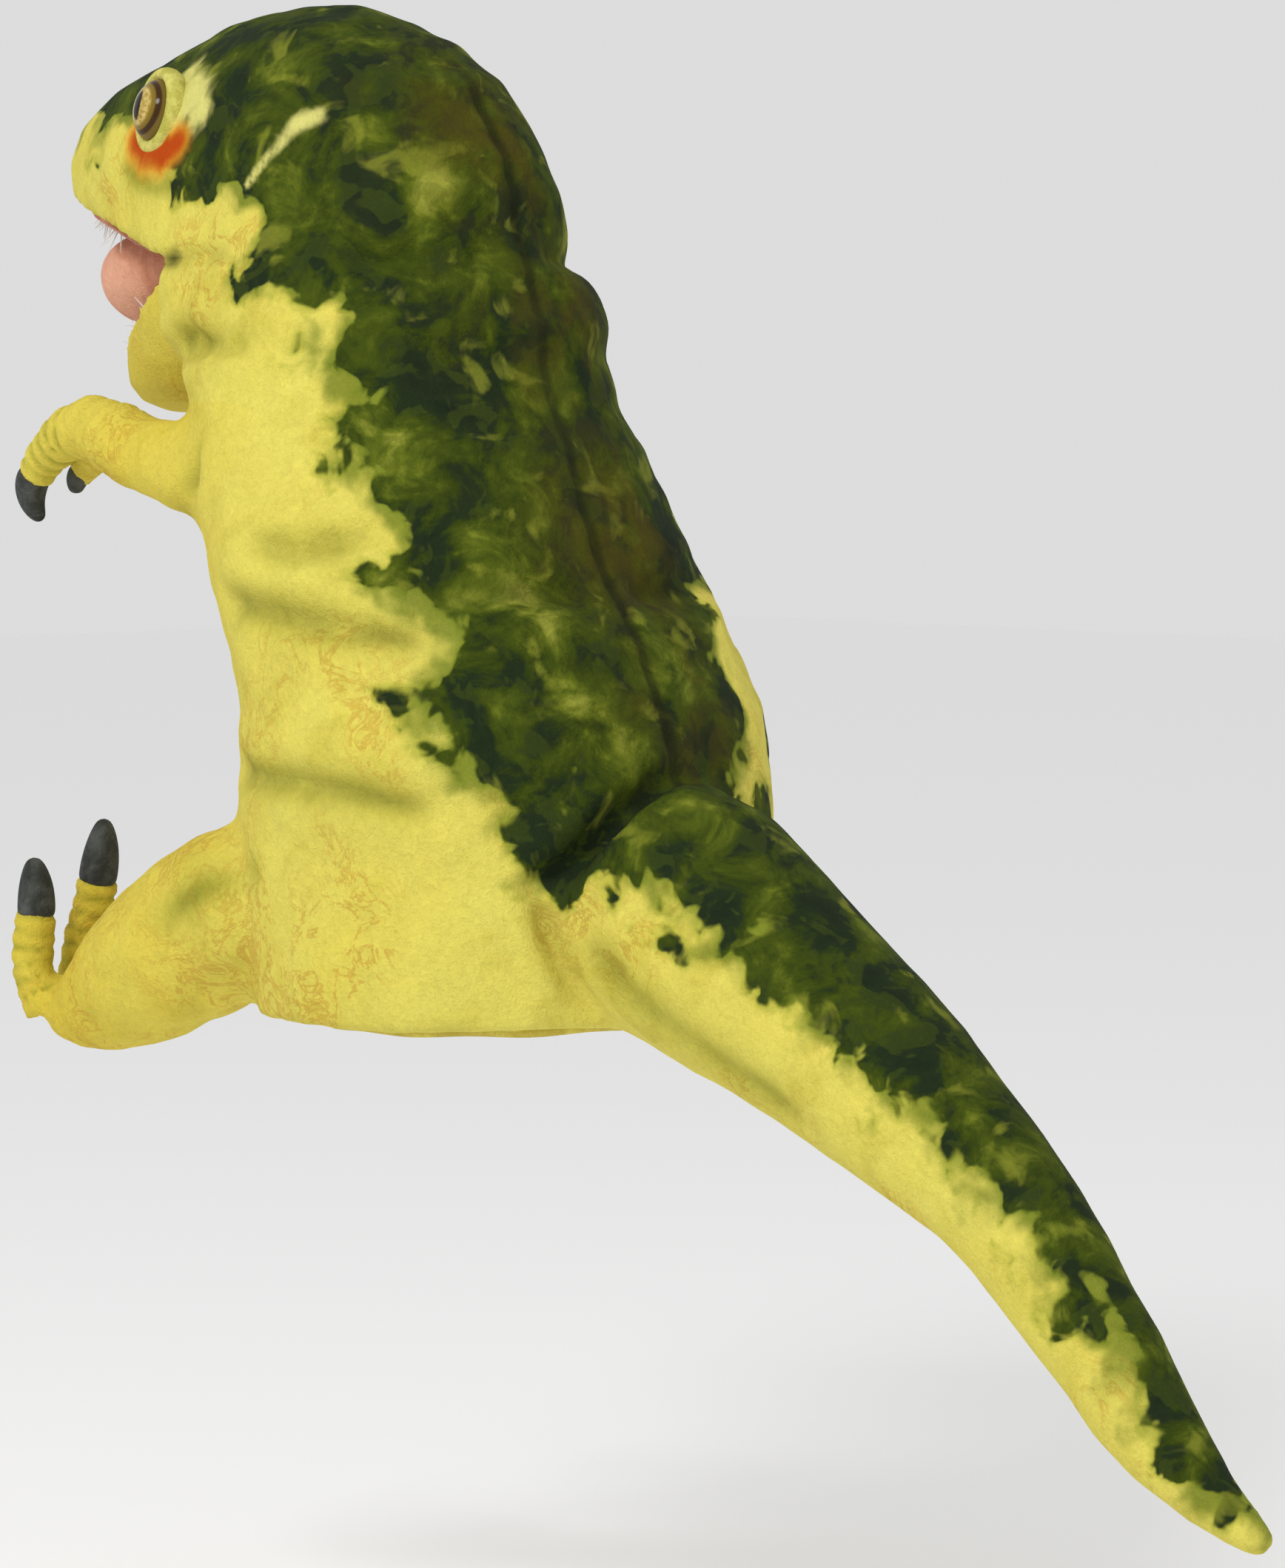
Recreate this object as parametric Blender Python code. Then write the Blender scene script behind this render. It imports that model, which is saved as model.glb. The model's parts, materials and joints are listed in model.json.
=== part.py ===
"""Dinosaur hand puppet with a moving mouth, built as it is sewn: plush skin panels, stuffing, a lining for
the hand, mouth boards, eyes on posts, toes, claws and a tail in three lengths.

Metres, +Z up. The snout points along -Y and the puppet's left side is at +X. The origin is the centre of
the hand opening in the hem.
"""

import math

import bmesh
import bpy
from mathutils import Matrix, Vector

# Driving dimensions
SKIN = 0.0035  # plush with its backing
LIMB_SKIN = 0.0020
LINING = 0.0012
BOARD = 0.0018
PALATE = 0.0025
GAP = 0.0004  # between pieces that touch
SEAM_HALF = 0.0002  # half of the gap between a left and a right panel
RING_POINTS = 22
TUBE_POINTS = 10
EYE_POINTS = 14
NEARLY_UPRIGHT = 0.3  # a centre line this near to upright takes its ring's side from X

# Torso rings: height, centre y, half width, half depth
TORSO_RINGS = (
    (0.0045, 0.000, 0.084, 0.076),
    (0.030, 0.001, 0.087, 0.079),
    (0.060, 0.001, 0.088, 0.081),
    (0.080, 0.000, 0.087, 0.080),
    (0.100, -0.003, 0.086, 0.078),
    (0.122, -0.011, 0.085, 0.074),
    (0.149, -0.024, 0.086, 0.068),
    (0.171, -0.033, 0.083, 0.069),
    (0.185, -0.038, 0.077, 0.068),
    (0.192, -0.043, 0.067, 0.063),
)
SHOULDER_HEIGHT = 0.19  # above it, the torso closes in towards the neck
HAUNCH_HEIGHT = 0.096
HAUNCH_SPREAD = 0.034
HAUNCH_ANGLE = math.radians(122)  # from the front, towards each side
HAUNCH_WIDTH = math.radians(34)
HAUNCH_SWELL = 0.07

# The neck is a ball that the head turns on, round the wearer's wrist
NECK = Vector((0, -0.048, 0.212))
NECK_RADIUS = 0.060
NECK_PLAY = 0.0020  # between the neck and the stuffing that turns round it
NECK_LOW, NECK_HIGH = -0.0155, 0.0160  # heights of its ends from its centre
NECK_STEPS = 5
NECK_OPENING = 0.02  # how far a cutter reaches out of the neck

# Head rings: height, y of the widest place, half width, reach to the front, reach to the back
HEAD_RINGS = (
    (0.2245, -0.048, 0.068, 0.106, 0.068),
    (0.234, -0.052, 0.066, 0.112, 0.066),
    (0.244, -0.056, 0.063, 0.118, 0.068),
    (0.256, -0.064, 0.060, 0.124, 0.070),
    (0.268, -0.068, 0.057, 0.1335, 0.075),
    (0.280, -0.071, 0.054, 0.134, 0.073),
    (0.292, -0.073, 0.050, 0.1265, 0.067),
    (0.304, -0.076, 0.044, 0.1055, 0.061),
    (0.316, -0.080, 0.034, 0.071, 0.046),
    (0.324, -0.082, 0.022, 0.042, 0.030),
    (0.3295, -0.081, 0.008, 0.014, 0.012),
)
SNOUT_TAPER = 0.18

# Lower jaw rings, in the same order as the head's
JAW_RINGS = (
    (0.1965, -0.148, 0.010, 0.013, 0.012),
    (0.1990, -0.145, 0.019, 0.025, 0.020),
    (0.205, -0.141, 0.025, 0.034, 0.024),
    (0.213, -0.137, 0.028, 0.037, 0.022),
    (0.224, -0.134, 0.031, 0.039, 0.020),
    (0.2475, -0.134, 0.033, 0.040, 0.018),
)
JAW_TAPER = 0.1

# The mouth: its hinge line, and how steeply each lip leaves it
JAW_HINGE = Vector((0, -0.114, 0.2455))
LIP_OFFSET = 0.0020  # each lip plane passes this far from the hinge line
UPPER_LIP = math.radians(14.5)
LOWER_LIP = math.radians(-29.5)
UPPER_RECESS, LOWER_RECESS = 0.006, 0.005  # how far the pink linings lie behind the lips
MOUTH_BACK = -0.112
PALATE_START = 0.0065  # from the hinge line, forwards
FRINGE_START = 0.012  # in front of the linings' back edge
FRINGE_DROP = 0.0015
FRINGE = 0.0013
FOLD_RADIUS, FOLD_REACH = 0.0030, 0.026

# Tongue rings: distance in front of the hinge, half width, half height
TONGUE_RINGS = (
    (0.0090, 0.009, 0.0040),
    (0.0150, 0.014, 0.0070),
    (0.0280, 0.018, 0.0100),
    (0.0420, 0.019, 0.0125),
    (0.0540, 0.018, 0.0130),
    (0.0630, 0.014, 0.0110),
    (0.0690, 0.007, 0.0060),
)

# Where the hand goes: height, centre y, half width, half depth, outside the lining
HAND_RINGS = (
    (0.0045, 0.000, 0.058, 0.050),
    (0.060, -0.002, 0.050, 0.042),
    (0.120, -0.012, 0.045, 0.037),
    (0.180, -0.038, 0.0425, 0.036),
    (0.200, -0.046, 0.0420, 0.036),
    (0.2285, -0.049, 0.0410, 0.035),
)
PALM_CENTRE = Vector((0, -0.070, 0.244))
PALM_RADII = Vector((0.042, 0.036, 0.034))
FINGER_START = 0.022  # behind the hinge line
FINGER_LENGTH = 0.080
FINGER_LIFT = 0.0235  # of the pocket's middle above the upper lip plane
FINGER_RINGS = ((0.0, 0.034), (0.25, 0.034), (0.5, 0.031), (0.75, 0.026), (0.93, 0.020), (1.0, 0.012))
FINGER_HEIGHT = 0.0105
THUMB_START = 0.009  # in front of the hinge line
THUMB_LENGTH = 0.030
THUMB_DROP = 0.0172  # of the pocket's middle below the lower lip plane
THUMB_RINGS = ((0.0, 0.015), (0.4, 0.015), (0.75, 0.012), (1.0, 0.007))
THUMB_HEIGHT = 0.0066

STUFFING_STEP = 0.004  # the body's stuffing ends this far below the neck's top
HEM_HEIGHT = 0.0041

# Eyes
EYE = Vector((0.0425, -0.119, 0.2955))
EYE_AXIS = Vector((0.93, -0.28, 0.24)).normalized()
EYE_RADIUS = 0.010
EYE_RISE = 0.0075
POST_RADIUS, POST_LENGTH = 0.0025, 0.0120
EYE_BASE, EYE_RIM = 0.0012, 0.0012  # the dome's height above the skin, and its upright rim
WASHER_RADIUS, WASHER_THICKNESS = 0.0075, 0.0016
WASHER_DEPTH = 0.0040  # below the inside of the skin
LID_RADIUS, LID_TUBE = 0.0122, 0.0026
LID_STEPS, LID_POINTS = 11, 8

# Limbs on the left side: points of a centre line with a radius, from the joint outwards
ARM_PATH = (
    ((0.0585, -0.0985, 0.1805), 0.0122),
    ((0.0575, -0.1100, 0.1825), 0.0121),
    ((0.0570, -0.1232, 0.1873), 0.0119),
    ((0.0570, -0.1352, 0.1916), 0.0108),
    ((0.0570, -0.1494, 0.1889), 0.0089),
    ((0.0560, -0.1621, 0.1809), 0.0068),
    ((0.0560, -0.1665, 0.1762), 0.0062),
)
ARM_CLAW_PATH = (
    ((0.0560, -0.1671, 0.1755), 0.0060),
    ((0.0560, -0.1688, 0.1736), 0.0058),
    ((0.0560, -0.1697, 0.1695), 0.0052),
    ((0.0560, -0.1684, 0.1640), 0.0036),
    ((0.0560, -0.1645, 0.1602), 0.0018),
)
FINGER_PATH = (
    ((0.0420, -0.1500, 0.1830), 0.0052),
    ((0.0412, -0.1560, 0.1800), 0.0050),
    ((0.0408, -0.1610, 0.1765), 0.0046),
)
FINGER_CLAW_PATH = (
    ((0.0408, -0.1615, 0.1762), 0.0044),
    ((0.0407, -0.1631, 0.1750), 0.0041),
    ((0.0406, -0.1644, 0.1722), 0.0034),
    ((0.0406, -0.1647, 0.1688), 0.0020),
)
LEG_PATH = (
    ((0.0600, -0.0930, 0.0270), 0.0280),
    ((0.0605, -0.1050, 0.0165), 0.0270),
    ((0.0600, -0.1180, 0.0075), 0.0240),
    ((0.0590, -0.1306, -0.0005), 0.0192),
    ((0.0580, -0.1420, -0.0035), 0.0160),
    ((0.0570, -0.1505, -0.0045), 0.0125),
)
OUTER_TOE_PATH = (
    ((0.0660, -0.1575, 0.0075), 0.0066),
    ((0.0660, -0.1580, 0.0140), 0.0070),
    ((0.0660, -0.1570, 0.0225), 0.0069),
    ((0.0660, -0.1562, 0.0289), 0.0066),
)
OUTER_CLAW_PATH = (
    ((0.0660, -0.1561, 0.0296), 0.0064),
    ((0.0660, -0.1560, 0.0304), 0.0064),
    ((0.0660, -0.1560, 0.0370), 0.0061),
    ((0.0660, -0.1566, 0.0430), 0.0046),
    ((0.0660, -0.1575, 0.0475), 0.0024),
)
INNER_TOE_PATH = (
    ((0.0440, -0.1600, 0.0085), 0.0070),
    ((0.0430, -0.1590, 0.0180), 0.0073),
    ((0.0420, -0.1555, 0.0290), 0.0073),
    ((0.0420, -0.1530, 0.0390), 0.0068),
)
INNER_CLAW_PATH = (
    ((0.0420, -0.1529, 0.0395), 0.0066),
    ((0.0420, -0.1527, 0.0402), 0.0066),
    ((0.0420, -0.1508, 0.0480), 0.0062),
    ((0.0420, -0.1497, 0.0545), 0.0046),
    ((0.0420, -0.1491, 0.0597), 0.0024),
)

# Tail sections, in the plane x = 0: points of the centre line with a radius
TAIL_BASE_PATH = (
    ((0, 0.1200, 0.0212), 0.0350),
    ((0, 0.1333, 0.0144), 0.0328),
    ((0, 0.1559, 0.0024), 0.0304),
    ((0, 0.1640, -0.0024), 0.0296),
)
TAIL_MID_PATH = (
    ((0, 0.1900, -0.0188), 0.0256),
    ((0, 0.2020, -0.0268), 0.0232),
    ((0, 0.2150, -0.0356), 0.0214),
    ((0, 0.2262, -0.0453), 0.0199),
    ((0, 0.2330, -0.0522), 0.0194),
)
TAIL_TIP_PATH = (
    ((0, 0.2480, -0.0688), 0.0176),
    ((0, 0.2608, -0.0815), 0.0167),
    ((0, 0.2706, -0.0936), 0.0156),
    ((0, 0.2826, -0.1052), 0.0131),
    ((0, 0.2971, -0.1165), 0.0090),
    ((0, 0.3166, -0.1269), 0.0053),
    ((0, 0.3215, -0.1298), 0.0035),
)

# Colours of the plain solids
GREEN = (0.05, 0.12, 0.03)
YELLOW = (0.80, 0.74, 0.18)
PINK = (0.82, 0.44, 0.38)
GREY = (0.10, 0.10, 0.11)
WHITE = (0.86, 0.86, 0.84)
CARD = (0.62, 0.52, 0.38)
CREAM = (0.84, 0.80, 0.60)
AMBER = (0.42, 0.30, 0.10)


def clear_scene():
    for obj in list(bpy.data.objects):
        bpy.data.objects.remove(obj)


def material(name, colour, roughness):
    found = bpy.data.materials.get(name)
    if found:
        return found
    made = bpy.data.materials.new(name)
    made.use_nodes = True
    shader = made.node_tree.nodes["Principled BSDF"]
    shader.inputs["Base Color"].default_value = (*colour, 1)
    shader.inputs["Roughness"].default_value = roughness
    return made


def finish(bm, name, colour=None, roughness=0.9, helper=False):
    """Makes the object NAME from a bmesh, as a piece or as a hidden helper."""
    bmesh.ops.recalc_face_normals(bm, faces=bm.faces)
    mesh = bpy.data.meshes.new(name)
    bm.to_mesh(mesh)
    bm.free()
    mesh.shade_smooth()
    mesh.set_sharp_from_angle(angle=math.radians(50))
    obj = bpy.data.objects.new(name, mesh)
    bpy.context.scene.collection.objects.link(obj)
    if helper:
        obj.hide_render = True
        obj.display_type = "WIRE"
    if colour:
        mesh.materials.append(material(f"{name}_finish", colour, roughness))
    return obj


def loft(rings):
    """A closed bmesh through rings of equally many points, flat at both ends."""
    bm = bmesh.new()
    made = [[bm.verts.new(point) for point in ring] for ring in rings]
    for low, high in zip(made, made[1:]):
        for i in range(len(low)):
            j = (i + 1) % len(low)
            bm.faces.new((low[i], low[j], high[j], high[i]))
    bm.faces.new(made[0])
    bm.faces.new(made[-1])
    bmesh.ops.recalc_face_normals(bm, faces=bm.faces)
    return bm


def torso_point(angle, ring):
    """A point of a torso ring. Angle 0 is the front, and the haunches swell the sides."""
    height, centre, half_width, half_depth = ring
    swell = 0
    for side in (-1, 1):
        off = (angle - side * HAUNCH_ANGLE) / HAUNCH_WIDTH
        swell += math.exp(-off * off)
    rise = (height - HAUNCH_HEIGHT) / HAUNCH_SPREAD
    scale = 1 + HAUNCH_SWELL * swell * math.exp(-rise * rise)
    across = half_width * math.sin(angle) * scale
    return Vector((across, centre - half_depth * math.cos(angle) * scale, height))


def angles(count):
    return [-math.pi + 2 * math.pi * (i + 0.5) / count for i in range(count)]


def egg_ring(ring, taper):
    """A level ring with its own reach to the front and to the back, narrower at the front by taper."""
    height, middle, half_width, front, back = ring
    points = []
    for angle in angles(RING_POINTS):
        forward = math.cos(angle)
        reach = front if forward > 0 else back
        width = half_width * (1 - taper * max(0, forward))
        points.append(Vector((width * math.sin(angle), middle - reach * forward, height)))
    return points


def neck_rings(radius):
    rings = []
    for step in range(NECK_STEPS):
        height = NECK_LOW + (NECK_HIGH - NECK_LOW) * step / (NECK_STEPS - 1)
        reach = math.sqrt(radius * radius - height * height)
        ring = []
        for angle in angles(RING_POINTS):
            ring.append(NECK + Vector((reach * math.sin(angle), -reach * math.cos(angle), height)))
        rings.append(ring)
    return rings


def torso_solid(inset, low=None):
    """The torso with the neck ball on top, taken in by inset all round. It can reach down to low."""
    rings = []
    for height, centre, half_width, half_depth in TORSO_RINGS:
        shoulder_drop = inset if height > SHOULDER_HEIGHT else 0
        ring = (height - shoulder_drop, centre, half_width - inset, half_depth - inset)
        rings.append([torso_point(angle, ring) for angle in angles(RING_POINTS)])
    rings += neck_rings(NECK_RADIUS - inset)
    if inset:
        rings.append([point + Vector((0, 0, NECK_OPENING)) for point in rings[-1]])
    if low is not None:
        rings.insert(0, [Vector((point.x, point.y, low)) for point in rings[0]])
    return loft(rings)


def hand_solid(inset, low, high):
    """The room for the hand, drawn out straight down to low and up to high."""
    rings = []
    for height, centre, half_width, half_depth in HAND_RINGS:
        across, deep = half_width - inset, half_depth - inset
        ring = []
        for angle in angles(RING_POINTS):
            ring.append(Vector((across * math.sin(angle), centre - deep * math.cos(angle), height)))
        rings.append(ring)
    rings.insert(0, [Vector((point.x, point.y, low)) for point in rings[0]])
    rings.append([Vector((point.x, point.y, high)) for point in rings[-1]])
    return loft(rings)


def taken_in(bm, amount):
    """Moves every point of a closed bmesh inwards, along its normal."""
    bm.normal_update()
    moves = [(vert, vert.normal.copy()) for vert in bm.verts]
    for vert, normal in moves:
        vert.co -= normal * amount
    return bm


def egg_solid(table, taper, inset, low=None):
    """A closed loft of egg rings, taken in by inset. Its bottom face can reach down to low."""
    bm = loft([egg_ring(ring, taper) for ring in table])
    if inset:
        taken_in(bm, inset)
    if low is not None:
        bottom = min(bm.faces, key=lambda face: face.calc_center_median().z)
        for vert in bottom.verts:
            vert.co.z = low
    return bm


def head_solid(inset, low=None):
    return egg_solid(HEAD_RINGS, SNOUT_TAPER, inset, low)


def jaw_solid(inset):
    return egg_solid(JAW_RINGS, JAW_TAPER, inset)


def box(low, high):
    bm = bmesh.new()
    bmesh.ops.create_cube(bm, size=1)
    low, high = Vector(low), Vector(high)
    size = high - low
    bmesh.ops.scale(bm, vec=size, verts=bm.verts)
    bmesh.ops.translate(bm, vec=(low + high) / 2, verts=bm.verts)
    return bm


def lip_frame(tilt, side):
    """The turn and the place that carry a level plate onto a lip plane. Side 1 is above the hinge line."""
    turn = Matrix.Rotation(-tilt, 4, "X")
    place = Matrix.Translation(JAW_HINGE + turn @ Vector((0, 0, side * LIP_OFFSET)))
    return place @ turn


def lip_slab(tilt, side, low, high, start=0.15, end=-0.15):
    """A wide slab parallel to a lip plane, from low to high above it, and from start to end along Y."""
    bm = box((-0.1, end, low), (0.1, start, high))
    bmesh.ops.transform(bm, matrix=lip_frame(tilt, side), verts=bm.verts)
    return bm


def mouth_room():
    """The space under the upper lip, with the jaw's room behind and below it, as one wide prism."""
    frame = lip_frame(UPPER_LIP, 1)
    near, far = frame @ Vector((0, -0.004, 0)), frame @ Vector((0, -0.15, 0))
    outline = (
        (MOUTH_BACK, 0.19),
        (MOUTH_BACK, JAW_HINGE.z - 0.001),
        (near.y, near.z),
        (far.y, far.z),
        (far.y, 0.19),
    )
    return loft([[Vector((x, y, z)) for y, z in outline] for x in (-0.1, 0.1)])


def ball(centre, radii):
    bm = bmesh.new()
    bmesh.ops.create_uvsphere(bm, u_segments=18, v_segments=10, radius=1)
    bmesh.ops.scale(bm, vec=radii, verts=bm.verts)
    bmesh.ops.translate(bm, vec=centre, verts=bm.verts)
    return bm


def tube_rings(path, inset=0.0, round_start=True, round_end=False):
    """Rings across a centre line, with a rounded start and, if asked, a rounded end."""
    centres = [Vector(point) for point, _ in path]
    radii = [radius - inset for _, radius in path]
    rows = []
    first = (centres[1] - centres[0]).normalized()
    if round_start:
        for angle in (75, 50, 25):
            back = math.radians(angle)
            rows.append((centres[0] - first * radii[0] * math.sin(back), radii[0] * math.cos(back), first))
    for i, centre in enumerate(centres):
        before = centres[max(i - 1, 0)]
        after = centres[min(i + 1, len(centres) - 1)]
        rows.append((centre, radii[i], (after - before).normalized()))
    if round_end:
        last = (centres[-1] - centres[-2]).normalized()
        for angle in (30, 60):
            on = math.radians(angle)
            rows.append((centres[-1] + last * radii[-1] * math.sin(on), radii[-1] * math.cos(on), last))
    rings = []
    for centre, radius, along in rows:
        side = Vector((0, 0, 1)).cross(along)
        if side.length < NEARLY_UPRIGHT:
            side = Vector((1, 0, 0)) - along * along.x
        side.normalize()
        up = along.cross(side)
        ring = []
        for i in range(TUBE_POINTS):
            t = 2 * math.pi * i / TUBE_POINTS
            ring.append(centre + (side * math.cos(t) + up * math.sin(t)) * radius)
        rings.append(ring)
    return rings


def cut(obj, *cutters, operation="DIFFERENCE"):
    for cutter in cutters:
        modifier = obj.modifiers.new(cutter.name, "BOOLEAN")
        modifier.operation = operation
        modifier.solver = "EXACT"
        modifier.object = cutter
    return obj


def helper(bm, name):
    return finish(bm, f"cutter_{name}", helper=True)


def half_space(side):
    """A helper that covers everything on the other side of the seam from side."""
    edge = side * SEAM_HALF
    low, high = (edge, 0.3) if side < 0 else (-0.3, edge)
    return helper(box((low, -0.4, -0.1), (high, 0.4, 0.5)), f"{'left' if side > 0 else 'right'}_seam")


def build_torso(seams):
    inner = helper(torso_solid(SKIN, low=-0.01), "torso_inner")
    lining_room = helper(hand_solid(-GAP, -0.02, 0.27), "lining_room")
    hand_room = helper(hand_solid(LINING, -0.02, 0.27), "hand_room")
    hand_room_low = helper(hand_solid(0.0, -0.02, 0.27), "hem_room")
    for side, word in ((1, "left"), (-1, "right")):
        panel = finish(torso_solid(0), f"body_panel_{word}", GREEN)
        cut(panel, inner, seams[side])
        stuffing = finish(torso_solid(SKIN + GAP), f"body_stuffing_{word}", WHITE)
        top = NECK.z + NECK_HIGH - STUFFING_STEP
        above = helper(box((-0.2, -0.2, top), (0.2, 0.2, 0.3)), f"stuffing_top_{word}")
        cut(stuffing, lining_room, above, seams[side])
    lining = finish(hand_solid(0, HAND_RINGS[0][0], HAND_RINGS[-1][0]), "hand_lining", CREAM)
    cut(lining, hand_room)
    hem_rings = []
    for height in (0, HEM_HEIGHT):
        ring = (height, *TORSO_RINGS[0][1:])
        hem_rings.append([torso_point(a, ring) for a in angles(RING_POINTS)])
    hem = finish(loft(hem_rings), "hem_band", YELLOW)
    cut(hem, hand_room_low)


def finger_pocket(inset, start=0.0):
    """The flat pocket for four fingers, laid above the upper lip plane."""
    frame = lip_frame(UPPER_LIP, 1)
    rings = []
    for share, half_width in FINGER_RINGS:
        flat = FINGER_HEIGHT * (1 if share < 0.9 else 0.85 if share < 1 else 0.55)
        along = FINGER_START - (FINGER_LENGTH - inset) * share + (start if share == 0 else 0)
        across, deep = half_width - inset, flat - inset
        ring = []
        for i in range(TUBE_POINTS * 2):
            t = math.pi * i / TUBE_POINTS
            ring.append(frame @ Vector((across * math.cos(t), along, FINGER_LIFT + deep * math.sin(t))))
        rings.append(ring)
    return loft(rings)


def thumb_pocket(inset, start=0.0):
    """The small pocket for the thumb, below the lower lip plane."""
    frame = lip_frame(LOWER_LIP, -1)
    rings = []
    for share, half_width in THUMB_RINGS:
        flat = THUMB_HEIGHT * (1 if share < 0.9 else 0.6)
        along = -THUMB_START - (THUMB_LENGTH - inset) * share + (start if share == 0 else 0)
        across, deep = half_width - inset, flat - inset
        ring = []
        for i in range(TUBE_POINTS):
            t = 2 * math.pi * i / TUBE_POINTS
            ring.append(frame @ Vector((across * math.cos(t), along, deep * math.sin(t) - THUMB_DROP)))
        rings.append(ring)
    return loft(rings)


def cylinder(centre, axis, radius, start, end, segments=EYE_POINTS):
    """A cylinder round axis, from start to end along it from centre."""
    bm = bmesh.new()
    bmesh.ops.create_cone(
        bm, cap_ends=True, segments=segments, radius1=radius, radius2=radius, depth=end - start
    )
    turn = axis.to_track_quat("Z", "Y").to_matrix().to_4x4()
    bmesh.ops.translate(bm, vec=(0, 0, (start + end) / 2), verts=bm.verts)
    bmesh.ops.transform(bm, matrix=Matrix.Translation(centre) @ turn, verts=bm.verts)
    return bm


def mirrored(vector, side):
    return Vector((vector.x * side, vector.y, vector.z))


def build_dome(word, centre, axis):
    """The eye's dome with its rim and, behind it, the post that goes through the skin."""
    turn = Matrix.Translation(centre) @ axis.to_track_quat("Z", "Y").to_matrix().to_4x4()
    top = EYE_BASE + EYE_RIM
    profile = [(POST_RADIUS, -POST_LENGTH), (POST_RADIUS, EYE_BASE)]
    profile += [(EYE_RADIUS, EYE_BASE), (EYE_RADIUS, top)]
    for angle in (25, 50, 72):
        rise = math.radians(angle)
        profile.append((EYE_RADIUS * math.cos(rise), top + EYE_RISE * math.sin(rise)))
    rings = []
    for radius, height in profile:
        ring = []
        for i in range(EYE_POINTS):
            t = math.tau * i / EYE_POINTS
            ring.append(turn @ Vector((radius * math.cos(t), radius * math.sin(t), height)))
        rings.append(ring)
    finish(loft(rings), f"{word}_eye", AMBER, 0.1)


def build_eyelid(word, centre, axis):
    """A roll over the upper half of the eye, thickest in the middle."""
    up = Vector((0, 0, 1))
    up = (up - axis * up.dot(axis)).normalized()
    across = axis.cross(up)
    rings = []
    for i in range(LID_STEPS):
        sweep = math.radians(-80 + 160 * i / (LID_STEPS - 1))
        out = up * math.cos(sweep) + across * math.sin(sweep)
        middle = centre + out * LID_RADIUS + axis * (LID_TUBE + 0.0016)
        thick = LID_TUBE * (0.45 + 0.55 * math.cos(sweep * 0.95))
        ring = []
        for k in range(LID_POINTS):
            t = math.tau * k / LID_POINTS
            ring.append(middle + (out * math.cos(t) + axis * math.sin(t)) * thick)
        rings.append(ring)
    finish(loft(rings), f"{word}_eyelid", YELLOW)


def build_eye(side, word):
    """One eye with its washer and eyelid. It returns the post's hole and the washer's room, as cutters."""
    centre, axis = mirrored(EYE, side), mirrored(EYE_AXIS, side)
    build_dome(word, centre, axis)
    top = -SKIN - WASHER_DEPTH
    washer = cylinder(centre, axis, WASHER_RADIUS, top - WASHER_THICKNESS, top)
    hole = helper(cylinder(centre, axis, POST_RADIUS + GAP, -0.03, 0.01), f"{word}_post_hole")
    cut(finish(washer, f"{word}_eye_washer", WHITE), hole)
    build_eyelid(word, centre, axis)
    room = helper(cylinder(centre, axis, WASHER_RADIUS + 0.001, -0.020, 0.001), f"{word}_washer_room")
    return hole, room


def build_head(seams):
    inner = helper(head_solid(SKIN, low=0.21), "head_inner")
    mouth = helper(mouth_room(), "mouth_room")
    holes = {side: build_eye(side, word) for side, word in ((1, "left"), (-1, "right"))}
    for side, word in ((1, "left"), (-1, "right")):
        panel = finish(head_solid(0), f"head_panel_{word}", GREEN)
        cut(panel, inner, mouth, seams[side], holes[side][0])
    neck_room = helper(ball(NECK, Vector((1, 1, 1)) * (NECK_RADIUS + NECK_PLAY)), "neck_room")
    palm_room = helper(ball(PALM_CENTRE, PALM_RADII), "palm_room")
    pocket_room = helper(finger_pocket(-GAP, start=0.02), "finger_room")
    board_top = UPPER_RECESS + PALATE + BOARD + 3 * GAP
    under = helper(lip_slab(UPPER_LIP, 1, -0.1, board_top, start=0.03), "under_board")
    stuffing = finish(head_solid(SKIN + 2 * GAP, low=0.21), "head_stuffing", WHITE)
    below = helper(box((-0.2, -0.3, 0.2), (0.2, 0.2, HEAD_RINGS[0][0] + 0.0045)), "head_stuffing_foot")
    cut(stuffing, below, under, neck_room, palm_room, pocket_room, mouth, holes[1][1], holes[-1][1])
    pocket = finish(finger_pocket(0), "finger_pocket", CREAM)
    cut(pocket, helper(finger_pocket(LINING, start=0.01), "finger_hollow"))
    reach = -PALATE_START
    level = UPPER_RECESS
    for name, inset, thickness, colour in (
        ("upper_palate", SKIN + 2 * GAP, PALATE, PINK),
        ("upper_mouth_board", SKIN + 0.002, BOARD, CARD),
    ):
        plate = finish(head_solid(inset), name, colour)
        slab = helper(lip_slab(UPPER_LIP, 1, level, level + thickness, start=reach), f"{name}_slab")
        cut(plate, slab, operation="INTERSECT")
        level += thickness + GAP
    fringe = finish(head_solid(SKIN + 2 * GAP), "upper_tooth_fringe", WHITE)
    slab = lip_slab(UPPER_LIP, 1, -FRINGE_DROP, UPPER_RECESS - GAP, start=reach - FRINGE_START)
    band = helper(slab, "upper_band")
    cut(fringe, band, operation="INTERSECT")
    cut(fringe, helper(head_solid(SKIN + 2 * GAP + FRINGE), "upper_fringe_inner"))


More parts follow.
